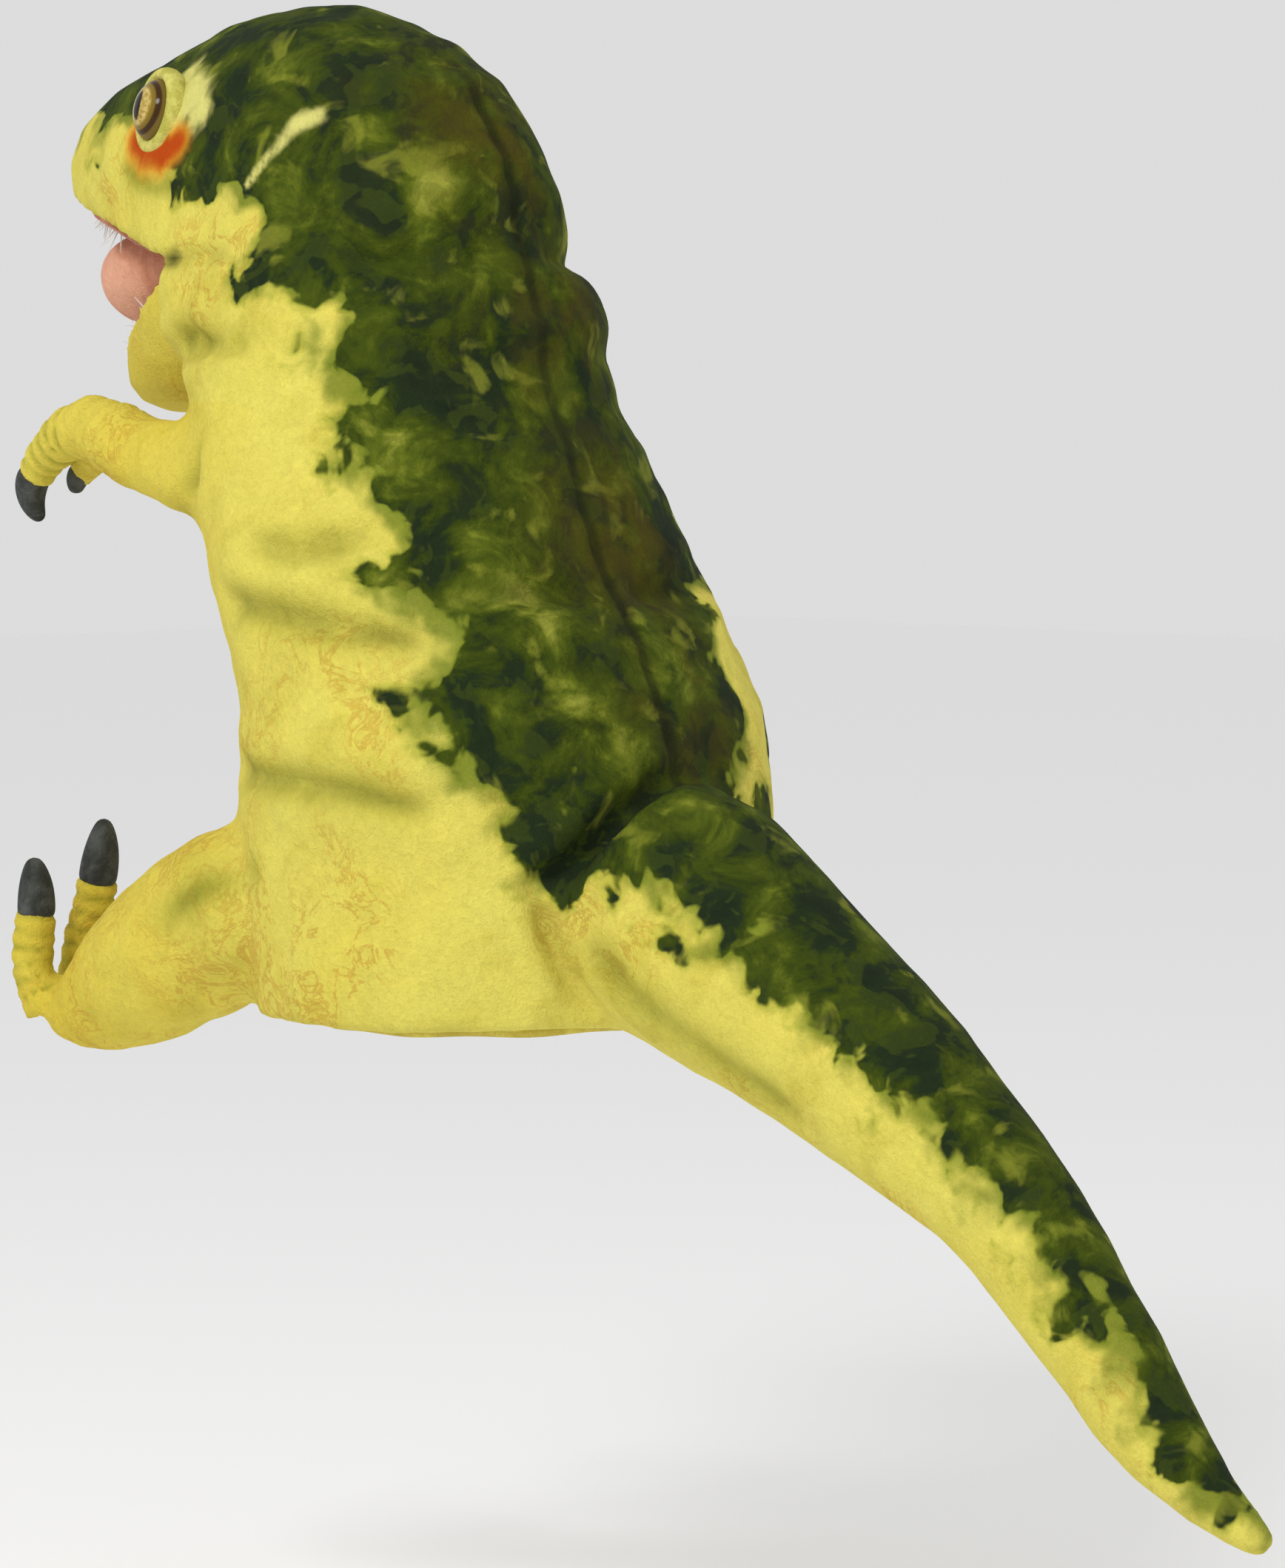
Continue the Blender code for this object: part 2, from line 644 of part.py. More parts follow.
def build_jaw():
    inner_solid = jaw_solid(SKIN - 0.0005)
    for vert in inner_solid.verts:
        if vert.co.y > JAW_HINGE.y - 0.010:
            vert.co.y += 0.02
    inner = helper(inner_solid, "jaw_inner")
    above = helper(lip_slab(LOWER_LIP, -1, 0, 0.08), "mouth_below")
    skin = finish(jaw_solid(0), "jaw_skin", YELLOW)
    cut(skin, inner, above)
    pocket_room = helper(thumb_pocket(-GAP, start=0.02), "thumb_room")
    board_top = -(LOWER_RECESS + PALATE + BOARD + 3 * GAP)
    over = helper(lip_slab(LOWER_LIP, -1, board_top, 0.08), "over_board")
    stuffing = finish(jaw_solid(SKIN - 0.0005 + GAP), "jaw_stuffing", WHITE)
    cut(stuffing, over, pocket_room)
    pocket = finish(thumb_pocket(0), "thumb_pocket", CREAM)
    cut(pocket, helper(thumb_pocket(LINING, start=0.01), "thumb_hollow"))
    reach = -PALATE_START
    level = -LOWER_RECESS
    for name, inset, thickness, colour in (
        ("lower_palate", SKIN + GAP, PALATE, PINK),
        ("lower_mouth_board", SKIN + 0.0015, BOARD, CARD),
    ):
        plate = finish(jaw_solid(inset), name, colour)
        slab = helper(lip_slab(LOWER_LIP, -1, level - thickness, level, start=reach), f"{name}_slab")
        cut(plate, slab, operation="INTERSECT")
        level -= thickness + GAP
    fringe = finish(jaw_solid(SKIN + GAP), "lower_tooth_fringe", WHITE)
    slab = lip_slab(LOWER_LIP, -1, -LOWER_RECESS + GAP, FRINGE_DROP, start=reach - FRINGE_START)
    band = helper(slab, "lower_band")
    cut(fringe, band, operation="INTERSECT")
    cut(fringe, helper(jaw_solid(SKIN + GAP + FRINGE), "lower_fringe_inner"))


def build_tongue():
    """A fat tongue half way between the lips, thickest in the middle."""
    turn = Matrix.Translation(JAW_HINGE) @ Matrix.Rotation(-(UPPER_LIP + LOWER_LIP) / 2, 4, "X")
    rings = []
    for along, half_width, half_height in TONGUE_RINGS:
        ring = []
        for i in range(TUBE_POINTS + 2):
            t = math.tau * i / (TUBE_POINTS + 2)
            ring.append(turn @ Vector((half_width * math.cos(t), -along, half_height * math.sin(t))))
        rings.append(ring)
    finish(loft(rings), "tongue", PINK)


def build_mouth_fold():
    """The roll of pink lining where the two mouth linings fold, which is the mouth's hinge."""
    roll = cylinder(JAW_HINGE, Vector((1, 0, 0)), FOLD_RADIUS, -FOLD_REACH, FOLD_REACH, segments=12)
    finish(roll, "mouth_fold", PINK)


def sided(path, side=1):
    """The centre line as vectors, on the left side or mirrored to the right."""
    return tuple((mirrored(Vector(point), side), radius) for point, radius in path)


def hollow_limb(path, name, stuffing_name, colour):
    """A sewn tube, open where it meets the body, and the stuffing inside it."""
    skin = finish(loft(tube_rings(path)), name, colour)
    (start, start_radius), (after, _) = path[0], path[1]
    (before_end, _), (end, end_radius) = path[-2], path[-1]
    inwards = (start - after).normalized()
    outwards = (end - before_end).normalized()
    opening = (start + inwards * start_radius * 1.4, start_radius * 0.8)
    hollow_end = end - outwards * LIMB_SKIN
    hollow = (opening, *path[:-1], (hollow_end, end_radius))
    cut(skin, helper(loft(tube_rings(hollow, LIMB_SKIN, round_start=False)), f"{name}_inner"))
    stuffed = (*path[:-1], (hollow_end - outwards * GAP, end_radius - 2 * GAP))
    finish(loft(tube_rings(stuffed, LIMB_SKIN + 2 * GAP)), stuffing_name, WHITE)


def build_limbs():
    for side, word in ((1, "left"), (-1, "right")):
        hollow_limb(sided(ARM_PATH, side), f"{word}_arm", f"{word}_arm_stuffing", YELLOW)
        hollow_limb(sided(LEG_PATH, side), f"{word}_leg", f"{word}_leg_stuffing", YELLOW)
        for name, path, colour, rounded in (
            ("finger", FINGER_PATH, YELLOW, False),
            ("arm_claw", ARM_CLAW_PATH, GREY, True),
            ("finger_claw", FINGER_CLAW_PATH, GREY, True),
            ("outer_toe", OUTER_TOE_PATH, YELLOW, False),
            ("inner_toe", INNER_TOE_PATH, YELLOW, False),
            ("outer_toe_claw", OUTER_CLAW_PATH, GREY, True),
            ("inner_toe_claw", INNER_CLAW_PATH, GREY, True),
        ):
            rings = tube_rings(sided(path, side), round_start=False, round_end=rounded)
            finish(loft(rings), f"{word}_{name}", colour)


def build_tail():
    paths = {"tail_base": TAIL_BASE_PATH, "tail_mid": TAIL_MID_PATH, "tail_tip": TAIL_TIP_PATH}
    for name, path in paths.items():
        hollow_limb(sided(path), name, f"{name}_stuffing", GREEN)


def build():
    """The whole puppet, body first."""
    clear_scene()
    seams = {1: half_space(1), -1: half_space(-1)}
    build_torso(seams)
    build_head(seams)
    build_jaw()
    build_tongue()
    build_mouth_fold()
    build_limbs()
    build_tail()


build()
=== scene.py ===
# %% [markdown]
# # A plush dinosaur hand puppet
# The puppet is one airbrushed plush skin over soft stuffing, worn on a forearm that comes in through the
# hem. The CAD frame holds the solids and the joints. This script gives every piece its real surface. Each
# piece rides on one of the frame's bodies or, where it lies between two, stays in place. No CAD part is
# moved.

# %% Load the frame
import json
import math

import bmesh
import bpy
import numpy as np
from mathutils import Matrix, Vector, kdtree, noise


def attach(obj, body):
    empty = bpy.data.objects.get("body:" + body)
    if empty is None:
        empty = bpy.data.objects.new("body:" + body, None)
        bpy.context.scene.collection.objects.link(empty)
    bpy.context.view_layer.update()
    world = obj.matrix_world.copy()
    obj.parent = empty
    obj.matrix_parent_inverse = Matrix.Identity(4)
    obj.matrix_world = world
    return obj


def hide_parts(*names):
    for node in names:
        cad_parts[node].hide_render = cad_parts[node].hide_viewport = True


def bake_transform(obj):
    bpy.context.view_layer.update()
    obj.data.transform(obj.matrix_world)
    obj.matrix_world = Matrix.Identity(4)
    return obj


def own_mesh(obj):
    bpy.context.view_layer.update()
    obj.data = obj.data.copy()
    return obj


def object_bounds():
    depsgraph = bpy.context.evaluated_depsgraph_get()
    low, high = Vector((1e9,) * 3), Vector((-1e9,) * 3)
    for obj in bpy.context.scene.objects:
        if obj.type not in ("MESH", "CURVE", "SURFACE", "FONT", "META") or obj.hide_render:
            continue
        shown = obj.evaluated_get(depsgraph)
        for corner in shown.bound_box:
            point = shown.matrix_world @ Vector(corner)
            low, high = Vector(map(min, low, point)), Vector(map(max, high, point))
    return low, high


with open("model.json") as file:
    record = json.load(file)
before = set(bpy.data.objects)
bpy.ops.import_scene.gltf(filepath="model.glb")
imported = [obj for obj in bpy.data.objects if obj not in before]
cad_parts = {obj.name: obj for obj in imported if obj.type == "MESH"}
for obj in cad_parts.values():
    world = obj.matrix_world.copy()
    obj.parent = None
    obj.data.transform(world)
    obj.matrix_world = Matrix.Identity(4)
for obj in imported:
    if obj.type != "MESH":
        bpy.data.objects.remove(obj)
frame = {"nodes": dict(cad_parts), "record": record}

cad_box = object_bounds()
PIVOT = {joint["name"]: Vector(joint["pos_m"]) for joint in frame["record"]["behaviour"]["joints"]}

# %% [markdown]
# ## The puppet's dimensions
# The skin follows the same level sections as the CAD solids. A section has a height, a centre in y, a half
# width and its reach to the front and the back. A limb is a centre line of points, each with a radius.
# +Z is up, the snout points along -Y, and the puppet's left side is at +X. Rows are in millimetres, as a
# maker would measure them, and one function turns them into Blender's metres.

# %% Millimetres to metres
def metres(*rows):
    return tuple(tuple(round(value / 1000, 7) for value in row) for row in rows)


# %% Sections of the torso, the head, the jaw and the hand's room
TORSO_RINGS = metres(
    (4.5, 0, 84, 76, 76), (30, 1, 87, 79, 79), (60, 1, 88, 81, 81), (80, 0, 87, 80, 80),
    (100, -3, 86, 78, 78), (122, -11, 85, 74, 74), (149, -24, 86, 68, 68), (171, -33, 83, 69, 69),
    (185, -38, 79, 69, 69), (198, -43, 73, 68, 66), (212, -46, 70, 72, 65),
)
HAUNCH_HEIGHT, HAUNCH_SPREAD, HAUNCH_SWELL = 0.096, 0.034, 0.07
HAUNCH_ANGLE, HAUNCH_WIDTH = math.radians(122), math.radians(34)
HEAD_RINGS = metres(
    (205, -46, 68, 70, 64), (224.5, -48, 68, 106, 68), (234, -52, 66, 112, 66), (244, -56, 63, 118, 68),
    (256, -64, 60, 124, 70), (268, -68, 57, 133.5, 75), (280, -71, 54, 134, 73), (292, -73, 50, 126.5, 67),
    (304, -76, 44, 105.5, 61), (316, -80, 34, 71, 46), (324, -82, 22, 42, 30), (329.5, -81, 8, 14, 12),
)
JAW_RINGS = metres(
    (196.5, -145, 11, 16, 14), (199, -139, 21, 31, 22), (205, -133, 28, 42, 26), (213, -127, 33, 47, 22),
    (224, -124, 37, 49, 18), (236, -122, 40, 51, 16), (247.5, -120, 42, 53, 14),
)
HAND_RINGS = metres(
    (-10, 0, 59, 51, 51), (4.5, 0, 59, 51, 51), (60, -2, 51, 43, 43), (120, -12, 46, 38, 38),
    (180, -38, 43.5, 37, 37), (232, -52, 42, 36, 36), (258, -66, 38, 30, 30), (270, -70, 22, 16, 16),
)
SNOUT_TAPER, JAW_TAPER = 0.18, 0.10

# %% Centre lines of the left arm and leg, and of the tail
ARM_LINE = metres(
    (54.5, -72, 176, 18), (58, -93, 179.5, 14), (57.5, -110, 182.5, 12.2), (57, -123.2, 187.3, 11.9),
    (57, -135.2, 191.6, 11), (57, -149.4, 188.9, 9.2), (56, -162.1, 180.9, 7.1), (56, -168, 174.5, 6.2),
)
FINGER_LINE = metres((45, -142, 185, 6), (41.2, -156, 180, 5.2), (40.7, -162.2, 175.7, 4.5))
ARM_CLAW_LINE = metres(
    (56, -166, 176.8, 5.6), (56, -169, 173.3, 6.1), (56, -169.9, 169, 5.5), (56, -168.4, 163.8, 4),
    (56, -164, 159.8, 2),
)
FINGER_CLAW_LINE = metres(
    (40.9, -160, 177.3, 4), (40.7, -163.1, 174.8, 4.3), (40.6, -164.6, 172, 3.6), (40.6, -164.8, 168.5, 2),
)
LEG_LINE = metres(
    (56, -30, 44, 20), (59.5, -58, 37, 27.5), (60, -79, 27, 27.5), (60.3, -100, 16, 25),
    (60.3, -114, 8, 21.5), (60, -126, 2, 18), (58.5, -138, -2, 14), (57, -150, -2, 10.5),
)
OUTER_TOE_LINE = metres(
    (64, -152, -3, 8.5), (66, -157.5, 7.5, 7), (66, -158, 14, 7.3), (66, -157, 22.5, 7.2),
    (66, -156.2, 31, 6.8),
)
OUTER_CLAW_LINE = metres(
    (66, -156.2, 27, 6.2), (66, -156, 30.5, 6.7), (66, -156, 37, 6.3), (66, -156.6, 43, 4.8),
    (66, -157.5, 47.8, 2.2),
)
INNER_TOE_LINE = metres(
    (50, -152, -2, 9), (44, -160, 8.5, 7.3), (43, -159, 18, 7.6), (42, -155.5, 29, 7.5),
    (42, -152.5, 40.5, 7),
)
INNER_CLAW_LINE = metres(
    (42, -153.3, 37, 6.2), (42, -152.6, 40.5, 6.9), (42, -150.8, 48, 6.4), (42, -149.7, 54.5, 4.8),
    (42, -149.1, 60, 2.2),
)
TAIL_LINE = metres(
    (0, 65.2, 50, 37), (0, 85.5, 38.8, 41.3), (0, 110.1, 26.5, 37.5), (0, 133.3, 14.4, 33.5),
    (0, 155.9, 2.4, 30.6), (0, 175.9, -9.6, 28.4), (0, 193.6, -21.6, 25), (0, 212, -33.4, 22),
    (0, 226.2, -45.3, 20.3), (0, 238, -57.5, 19.2), (0, 248.6, -69.6, 17.8), (0, 260.8, -81.5, 16.8),
    (0, 270.6, -93.6, 15.7), (0, 282.6, -105.2, 13.2), (0, 297.1, -116.5, 9.5), (0, 311, -124.3, 6.4),
    (0, 319.5, -128.8, 3.6),
)

# %% The mouth's planes
MOUTH_HINGE = PIVOT["jaw_open"]
UPPER_LIP, LOWER_LIP = math.radians(14.5), math.radians(-29.5)
LIP_OFFSET = 0.002
MOUTH_BACK, THROAT_FRONT = -0.1055, -0.116
JAW_ROOM_LOW = 0.190
print("mouth opens", round(math.degrees(UPPER_LIP - LOWER_LIP)), "degrees")

# %% [markdown]
# ## Helpers for soft shapes
# Each soft volume starts as circles, moved onto its sections and joined with bridge_loops. Overlapping
# volumes are then melted into one skin by a voxel remesh, which makes a leg grow out of a belly with no
# hard line, as stuffed plush does.

# %% Lofts from circles
def add_ring(bm, points):
    """Adds a circle, moves its points onto the given ones, and returns its edges."""
    verts = bmesh.ops.create_circle(bm, segments=len(points), radius=0.01)["verts"]
    for vert, point in zip(verts, points):
        vert.co = point
    return list(dict.fromkeys(edge for vert in verts for edge in vert.link_edges))


def add_loft(bm, rings):
    """Adds a closed volume through the given rings of points."""
    loops = [add_ring(bm, points) for points in rings]
    for low, high in zip(loops, loops[1:]):
        bmesh.ops.bridge_loops(bm, edges=low + high)
    bmesh.ops.edgeloop_fill(bm, edges=loops[0])
    bmesh.ops.edgeloop_fill(bm, edges=loops[-1])
    edges = [edge for loop in loops for edge in loop]
    faces = list(dict.fromkeys(face for edge in edges for vert in edge.verts for face in vert.link_faces))
    bmesh.ops.recalc_face_normals(bm, faces=faces)


def level_ring(section, taper=0.0, haunches=False, inset=0.0, points=36):
    """A level ring of points. Angle 0 is the front, where taper narrows it."""
    height, centre, half_width, front, back = section
    ring = []
    for i in range(points):
        angle = -math.pi + math.tau * (i + 0.5) / points
        forward = math.cos(angle)
        reach = (front if forward > 0 else back) - inset
        width = (half_width - inset) * (1 - taper * max(0, forward))
        scale = 1.0
        if haunches:
            rise = (height - HAUNCH_HEIGHT) / HAUNCH_SPREAD
            off = (abs(angle) - HAUNCH_ANGLE) / HAUNCH_WIDTH
            scale += HAUNCH_SWELL * math.exp(-off * off - rise * rise)
        ring.append(Vector((width * math.sin(angle) * scale, centre - reach * forward * scale, height)))
    return ring


def tube_rings(line, side=1, points=18):
    """Rings round a centre line, each square to it and turned with it."""
    centres = [Vector((x * side, y, z)) for x, y, z, _ in line]
    rings = []
    for i, centre in enumerate(centres):
        along = centres[min(i + 1, len(centres) - 1)] - centres[max(i - 1, 0)]
        upward = Vector((1, 0, 0)).cross(along).normalized()
        across = along.cross(upward).normalized()
        radius = line[i][3]
        ring = []
        for k in range(points):
            t = math.tau * k / points
            ring.append(centre + radius * (math.cos(t) * across + math.sin(t) * upward))
        rings.append(ring)
    return rings


def mesh_object(name, bm):
    mesh = bpy.data.meshes.new(name)
    bm.to_mesh(mesh)
    bm.free()
    obj = bpy.data.objects.new(name, mesh)
    bpy.context.scene.collection.objects.link(obj)
    return obj


def apply_modifiers(obj):
    """Makes the modifiers' result the object's own mesh."""
    graph = bpy.context.evaluated_depsgraph_get()
    old = obj.data
    made = bpy.data.meshes.new_from_object(obj.evaluated_get(graph))
    obj.modifiers.clear()
    obj.data = made
    bpy.data.meshes.remove(old)
    return obj


def modified(obj, kind, **settings):
    modifier = obj.modifiers.new(kind, kind)
    for key, value in settings.items():
        setattr(modifier, key, value)
    return apply_modifiers(obj)


def remesh(obj, size):
    return modified(obj, "REMESH", mode="VOXEL", voxel_size=size)


def subdivide(obj, levels):
    return modified(obj, "SUBSURF", levels=levels, render_levels=levels)


def cut_away(obj, cutter):
    return modified(obj, "BOOLEAN", solver="EXACT", operation="DIFFERENCE", object=cutter)


def smooth(obj):
    """Shades every face smooth."""
    obj.data.polygons.foreach_set("use_smooth", [True] * len(obj.data.polygons))
    return obj


def points_of(obj):
    points = np.empty(len(obj.data.vertices) * 3)
    obj.data.vertices.foreach_get("co", points)
    return points.reshape(-1, 3)


def set_points(obj, points):
    obj.data.vertices.foreach_set("co", np.ascontiguousarray(points, float).ravel())
    obj.data.update()


def normals_of(obj):
    normals = np.empty(len(obj.data.vertices) * 3)
    obj.data.vertex_normals.foreach_get("vector", normals)
    return normals.reshape(-1, 3)


def relax(obj, rounds, steps=(0.5, -0.52), share=1.0):
    """Smooths without shrinking: each round pulls points to their neighbours, then pushes them back."""
    points = points_of(obj)
    edges = np.empty(len(obj.data.edges) * 2, int)
    obj.data.edges.foreach_get("vertices", edges)
    a, b = edges.reshape(-1, 2).T
    count = np.bincount(a, minlength=len(points)) + np.bincount(b, minlength=len(points))
    for _ in range(rounds):
        for step in steps:
            for axis in range(3):
                column = points[:, axis]
                total = np.bincount(a, column[b], len(points)) + np.bincount(b, column[a], len(points))
                points[:, axis] = column + share * step * (total / count - column)
    set_points(obj, points)


def add_lumps(obj, scale, height):
    """Pushes the surface in and out a little, as stuffing does."""
    points, normals = points_of(obj), normals_of(obj)
    lumps = np.array([noise.fractal(Vector(p) * scale, 0.9, 2.1, 2) for p in points])
    set_points(obj, points + normals * (height * lumps)[:, None])


def remove(*objects):
    for obj in objects:
        bpy.data.objects.remove(obj)


# %% Distances to drawn lines
def along_line(points, line):
    """Each point's distance to a line, how far along the line it is, and how far above the line."""
    nearest = np.full(len(points), 9.0)
    along, rise = np.zeros(len(points)), np.zeros(len(points))
    start = 0.0
    for a, b in zip(line, line[1:]):
        a, b = np.array(a[:3], float), np.array(b[:3], float)
        step = b - a
        length = np.linalg.norm(step)
        t = np.clip((points - a) @ step / length**2, 0, 1)
        off = points - a - t[:, None] * step
        distance = np.linalg.norm(off, axis=1)
        closer = distance < nearest
        nearest = np.where(closer, distance, nearest)
        along = np.where(closer, start + t * length, along)
        rise = np.where(closer, off @ np.array((0, -step[2], step[1])) / length, rise)
        start += length
    return nearest, along, rise


def line_distance(points, line):
    return along_line(points, line)[:2]


def bell(distance, width):
    """1 at no distance, falling smoothly to 0 past about twice the width."""
    return np.exp(-((distance / width) ** 2))


def rising(values, start, length):
    """0 up to the start, then rising evenly to 1 over the length."""
    return np.clip((values - start) / length, 0, 1)


def mirrored(line):
    return tuple((-point[0], *point[1:]) for point in line)


def both_sides(points):
    return np.column_stack((np.abs(points[:, 0]), points[:, 1:]))


def spots(points, places):
    """1 in the middle of any of the places, which are rows of x, y, z and radius, and 0 far from them."""
    reach = np.zeros(len(points))
    for *place, radius in places:
        reach = np.maximum(reach, bell(np.linalg.norm(points - np.array(place), axis=1), radius))
    return reach


# %% [markdown]
# ## The skin, melted from simple volumes
# The torso and the head are lofts with the hand's room and the open mouth cut away. The arms, legs, toes
# and tail are tubes that start inside the body. One voxel remesh joins them all.

# %% The volumes
def level_volume(name, sections, taper=0.0, haunches=False, inset=0.0):
    bm = bmesh.new()
    add_loft(bm, [level_ring(section, taper, haunches, inset) for section in sections])
    return mesh_object(name, bm)


WEDGE_FRONT, WEDGE_HALF = -0.26, 0.1


def mouth_wedge():
    """The open mouth's and the lower jaw's room, from behind the hinge to beyond the snout."""
    bm = bmesh.new()
    back = MOUTH_HINGE.z + LIP_OFFSET
    upper = back + (MOUTH_HINGE.y - WEDGE_FRONT) * math.tan(UPPER_LIP)
    corners = (
        (MOUTH_BACK, back), (THROAT_FRONT, JAW_ROOM_LOW), (WEDGE_FRONT, JAW_ROOM_LOW), (WEDGE_FRONT, upper),
    )
    verts = [bm.verts.new((-WEDGE_HALF, y, z)) for y, z in corners]
    side = bmesh.ops.contextual_create(bm, geom=verts)["faces"]
    moved = bmesh.ops.extrude_face_region(bm, geom=side)["geom"]
    far_side = [item for item in moved if isinstance(item, bmesh.types.BMVert)]
    bmesh.ops.translate(bm, verts=far_side, vec=(2 * WEDGE_HALF, 0, 0))
    bmesh.ops.recalc_face_normals(bm, faces=bm.faces)
    return mesh_object("mouth_wedge", bm)


torso = level_volume("torso_volume", TORSO_RINGS, haunches=True)
head = level_volume("head_volume", HEAD_RINGS, taper=SNOUT_TAPER)
hand_room = level_volume("hand_room", HAND_RINGS)
wedge = mouth_wedge()
cut_away(torso, hand_room)
cut_away(head, hand_room)
cut_away(head, wedge)

limbs = bmesh.new()
for side in (1, -1):
    for line in (ARM_LINE, FINGER_LINE, LEG_LINE, OUTER_TOE_LINE, INNER_TOE_LINE):
        add_loft(limbs, tube_rings(line, side))
add_loft(limbs, tube_rings(TAIL_LINE, points=28))
for part in (torso, head):
    limbs.from_mesh(part.data)
base = mesh_object("base_volume", limbs)
remove(torso, head, hand_room, wedge)
print("volumes:", len(base.data.vertices), "points")

# %% One skin
FINE, COARSE = 0.0021, 0.0048
MELTED = metres(  # where a thigh, an arm and a cheek run into the body with no line
    (78, -62, 40, 17), (70, -62, 62, 15), (80, -60, 18, 14), (60, -90, 160, 12), (66, -86, 190, 11),
)
skin = bpy.data.objects.new("skin", base.data.copy())
bpy.context.scene.collection.objects.link(skin)
remesh(skin, FINE)
relax(skin, 14)
melt = spots(both_sides(points_of(skin)), MELTED)
relax(skin, 60, (0.5,), np.minimum(1, 1.3 * melt))
print("skin:", len(skin.data.vertices), "points")

# %% [markdown]
# ## The stuffing's push, as cloth under pressure
# A stuffed skin bulges between the places that hold it: the hem, the mouth and the small limbs. A coarse
# copy of the skin is simulated as cloth with air pressure inside, pinned at those places. Its movement is
# capped and carried over to the fine skin.

# %% Simulate the coarse skin
PUFF_CAP, PUFF_FRAMES = 0.0032, 20
HELD = (  # lowest and highest y, lowest and highest z
    (-1, 0.07, -1, 0.014),  # the hem
    (-1, -0.105, 0.22, 1),  # the mouth and the snout
    (-1, -0.14, -1, 0.06),  # the toes
    (-1, -0.13, 0.15, 0.21),  # the hands
    (0.30, 1, -1, 1),  # the tail's tip
)
CLOTH = {
    "quality": 4, "mass": 0.3, "tension_stiffness": 15, "compression_stiffness": 15,
    "shear_stiffness": 5, "bending_stiffness": 0.8, "use_pressure": True,
    "uniform_pressure_force": 4.0, "vertex_group_mass": "held",
}


def puff(fine, source, size):
    """Swells the fine skin as a simulated coarse copy swells, and returns the largest raw movement."""
    coarse = bpy.data.objects.new("coarse_skin", source.data.copy())
    bpy.context.scene.collection.objects.link(coarse)
    remesh(coarse, size)
    relax(coarse, 6)
    rest = points_of(coarse)
    held = np.zeros(len(rest), bool)
    y, z = rest[:, 1], rest[:, 2]
    for y_low, y_high, z_low, z_high in HELD:
        held |= (y > y_low) & (y < y_high) & (z > z_low) & (z < z_high)
    group = coarse.vertex_groups.new(name="held")
    group.add([int(i) for i in np.flatnonzero(held)], 1.0, "REPLACE")
    cloth = coarse.modifiers.new("Cloth", "CLOTH")
    for key, value in CLOTH.items():
        setattr(cloth.settings, key, value)
    cloth.settings.effector_weights.gravity = 0
    cloth.collision_settings.use_collision = False
    cloth.point_cache.frame_start = 1
    cloth.point_cache.frame_end = PUFF_FRAMES
    for number in range(1, PUFF_FRAMES + 1):
        bpy.context.scene.frame_set(number)
    apply_modifiers(coarse)
    moved = points_of(coarse) - rest
    bpy.context.scene.frame_set(1)
    length = np.linalg.norm(moved, axis=1, keepdims=True)
    moved *= np.minimum(1, PUFF_CAP / np.maximum(length, 1e-9))
    tree = kdtree.KDTree(len(rest))
    for i, point in enumerate(rest):
        tree.insert(point, i)
    tree.balance()
    shift = np.zeros((len(fine.data.vertices), 3))
    for i, point in enumerate(points_of(fine)):
        near = tree.find_n(point, 5)  # the five nearest coarse points, weighted by closeness
        weight = np.array([1 / (distance + 0.001) ** 2 for _, _, distance in near])
        shift[i] = weight @ moved[[index for _, index, _ in near]] / weight.sum()
    set_points(fine, points_of(fine) + shift)
    remove(coarse)
    return float(length.max())


print("cloth moved up to", round(1000 * puff(skin, base, COARSE), 1), "mm before the cap")
remove(base)

# %% [markdown]
# ## Folds, creases and seams
# The folds that cross the belly, the crease behind the thigh, the edge where the tail is sewn over the back
# and the long back seam are drawn as short lines in space. The skin sinks along each line and swells
# beside it. The same lines shade the airbrushing later.

# %% Where the skin folds
FOLDS = {  # name: shading, (depth, width), then points
    "throat": (0.75, (3, 4.2), (20, -117, 221), (59, -86, 220), (62, -50, 219), (55, -28, 223)),
    "collar": (0.55, (2.2, 4), (15, -110, 209), (59, -70, 208), (63, -43, 206), (56, -23, 207)),
    "chest": (0.55, (2.6, 4.2), (85, -29, 156), (83, -7, 154), (74, 6, 157), (66, 13, 161)),
    "waist": (0.65, (3.2, 5), (80, -45, 138), (85, -15, 134), (81, 11, 130), (64, 39, 125)),
    "hip": (0.7, (3, 4.6), (66, -50, 84), (82, -28, 82), (89, 1, 81), (87, 21, 80), (73, 49, 74)),
    "belly_low": (0.3, (2.8, 5.5), (0, -80, 72), (30, -75, 70), (55, -58, 68)),
    "belly_high": (0.3, (2.4, 5), (0, -87, 124), (35, -79, 126), (62, -62, 130)),
    "thigh": (0.9, (1.4, 5.2), (84, -66, 34), (86, -46, 50)),
    "tail_side": (0.75, (1.2, 5), (40, 78, 36), (38, 98, 16), (32, 122, 0), (28, 145, -10), (24, 160, -18)),
    "tail_crease": (0, (4.8, 4), (52, 66, 51), (42, 73, 57), (29, 80, 70), (14, 83, 80), (0, 84, 84)),
    "tail_edge": (0.35, (3.4, 3.2), (52, 66, 51), (47, 69, 38), (42, 71, 26), (33, 74, 12)),
    "mouth_side": (0.25, (1.6, 2.6), (46, -113, 245), (54, -100, 246), (59, -80, 247), (61, -60, 246)),
    "nape": (0, (4, 5.2), (10, 14, 249), (30, 7, 248), (48, -10, 246), (56, -24, 246)),
    "back_waist": (0, (3.8, 6), (10, 52, 141), (30, 45, 140), (56, 26, 137), (68, 10, 138)),
    "shoulder": (0.35, (1.6, 4), (46, -88, 168), (62, -80, 166), (72, -66, 176), (70, -62, 192)),
}
BACK_SEAM = metres(
    (0, -10, 300), (0, 6, 270), (0, 12, 235), (0, 17, 205), (0, 34, 174), (0, 46, 148), (0, 60, 125),
    (0, 76, 98), (0, 84, 85),
)
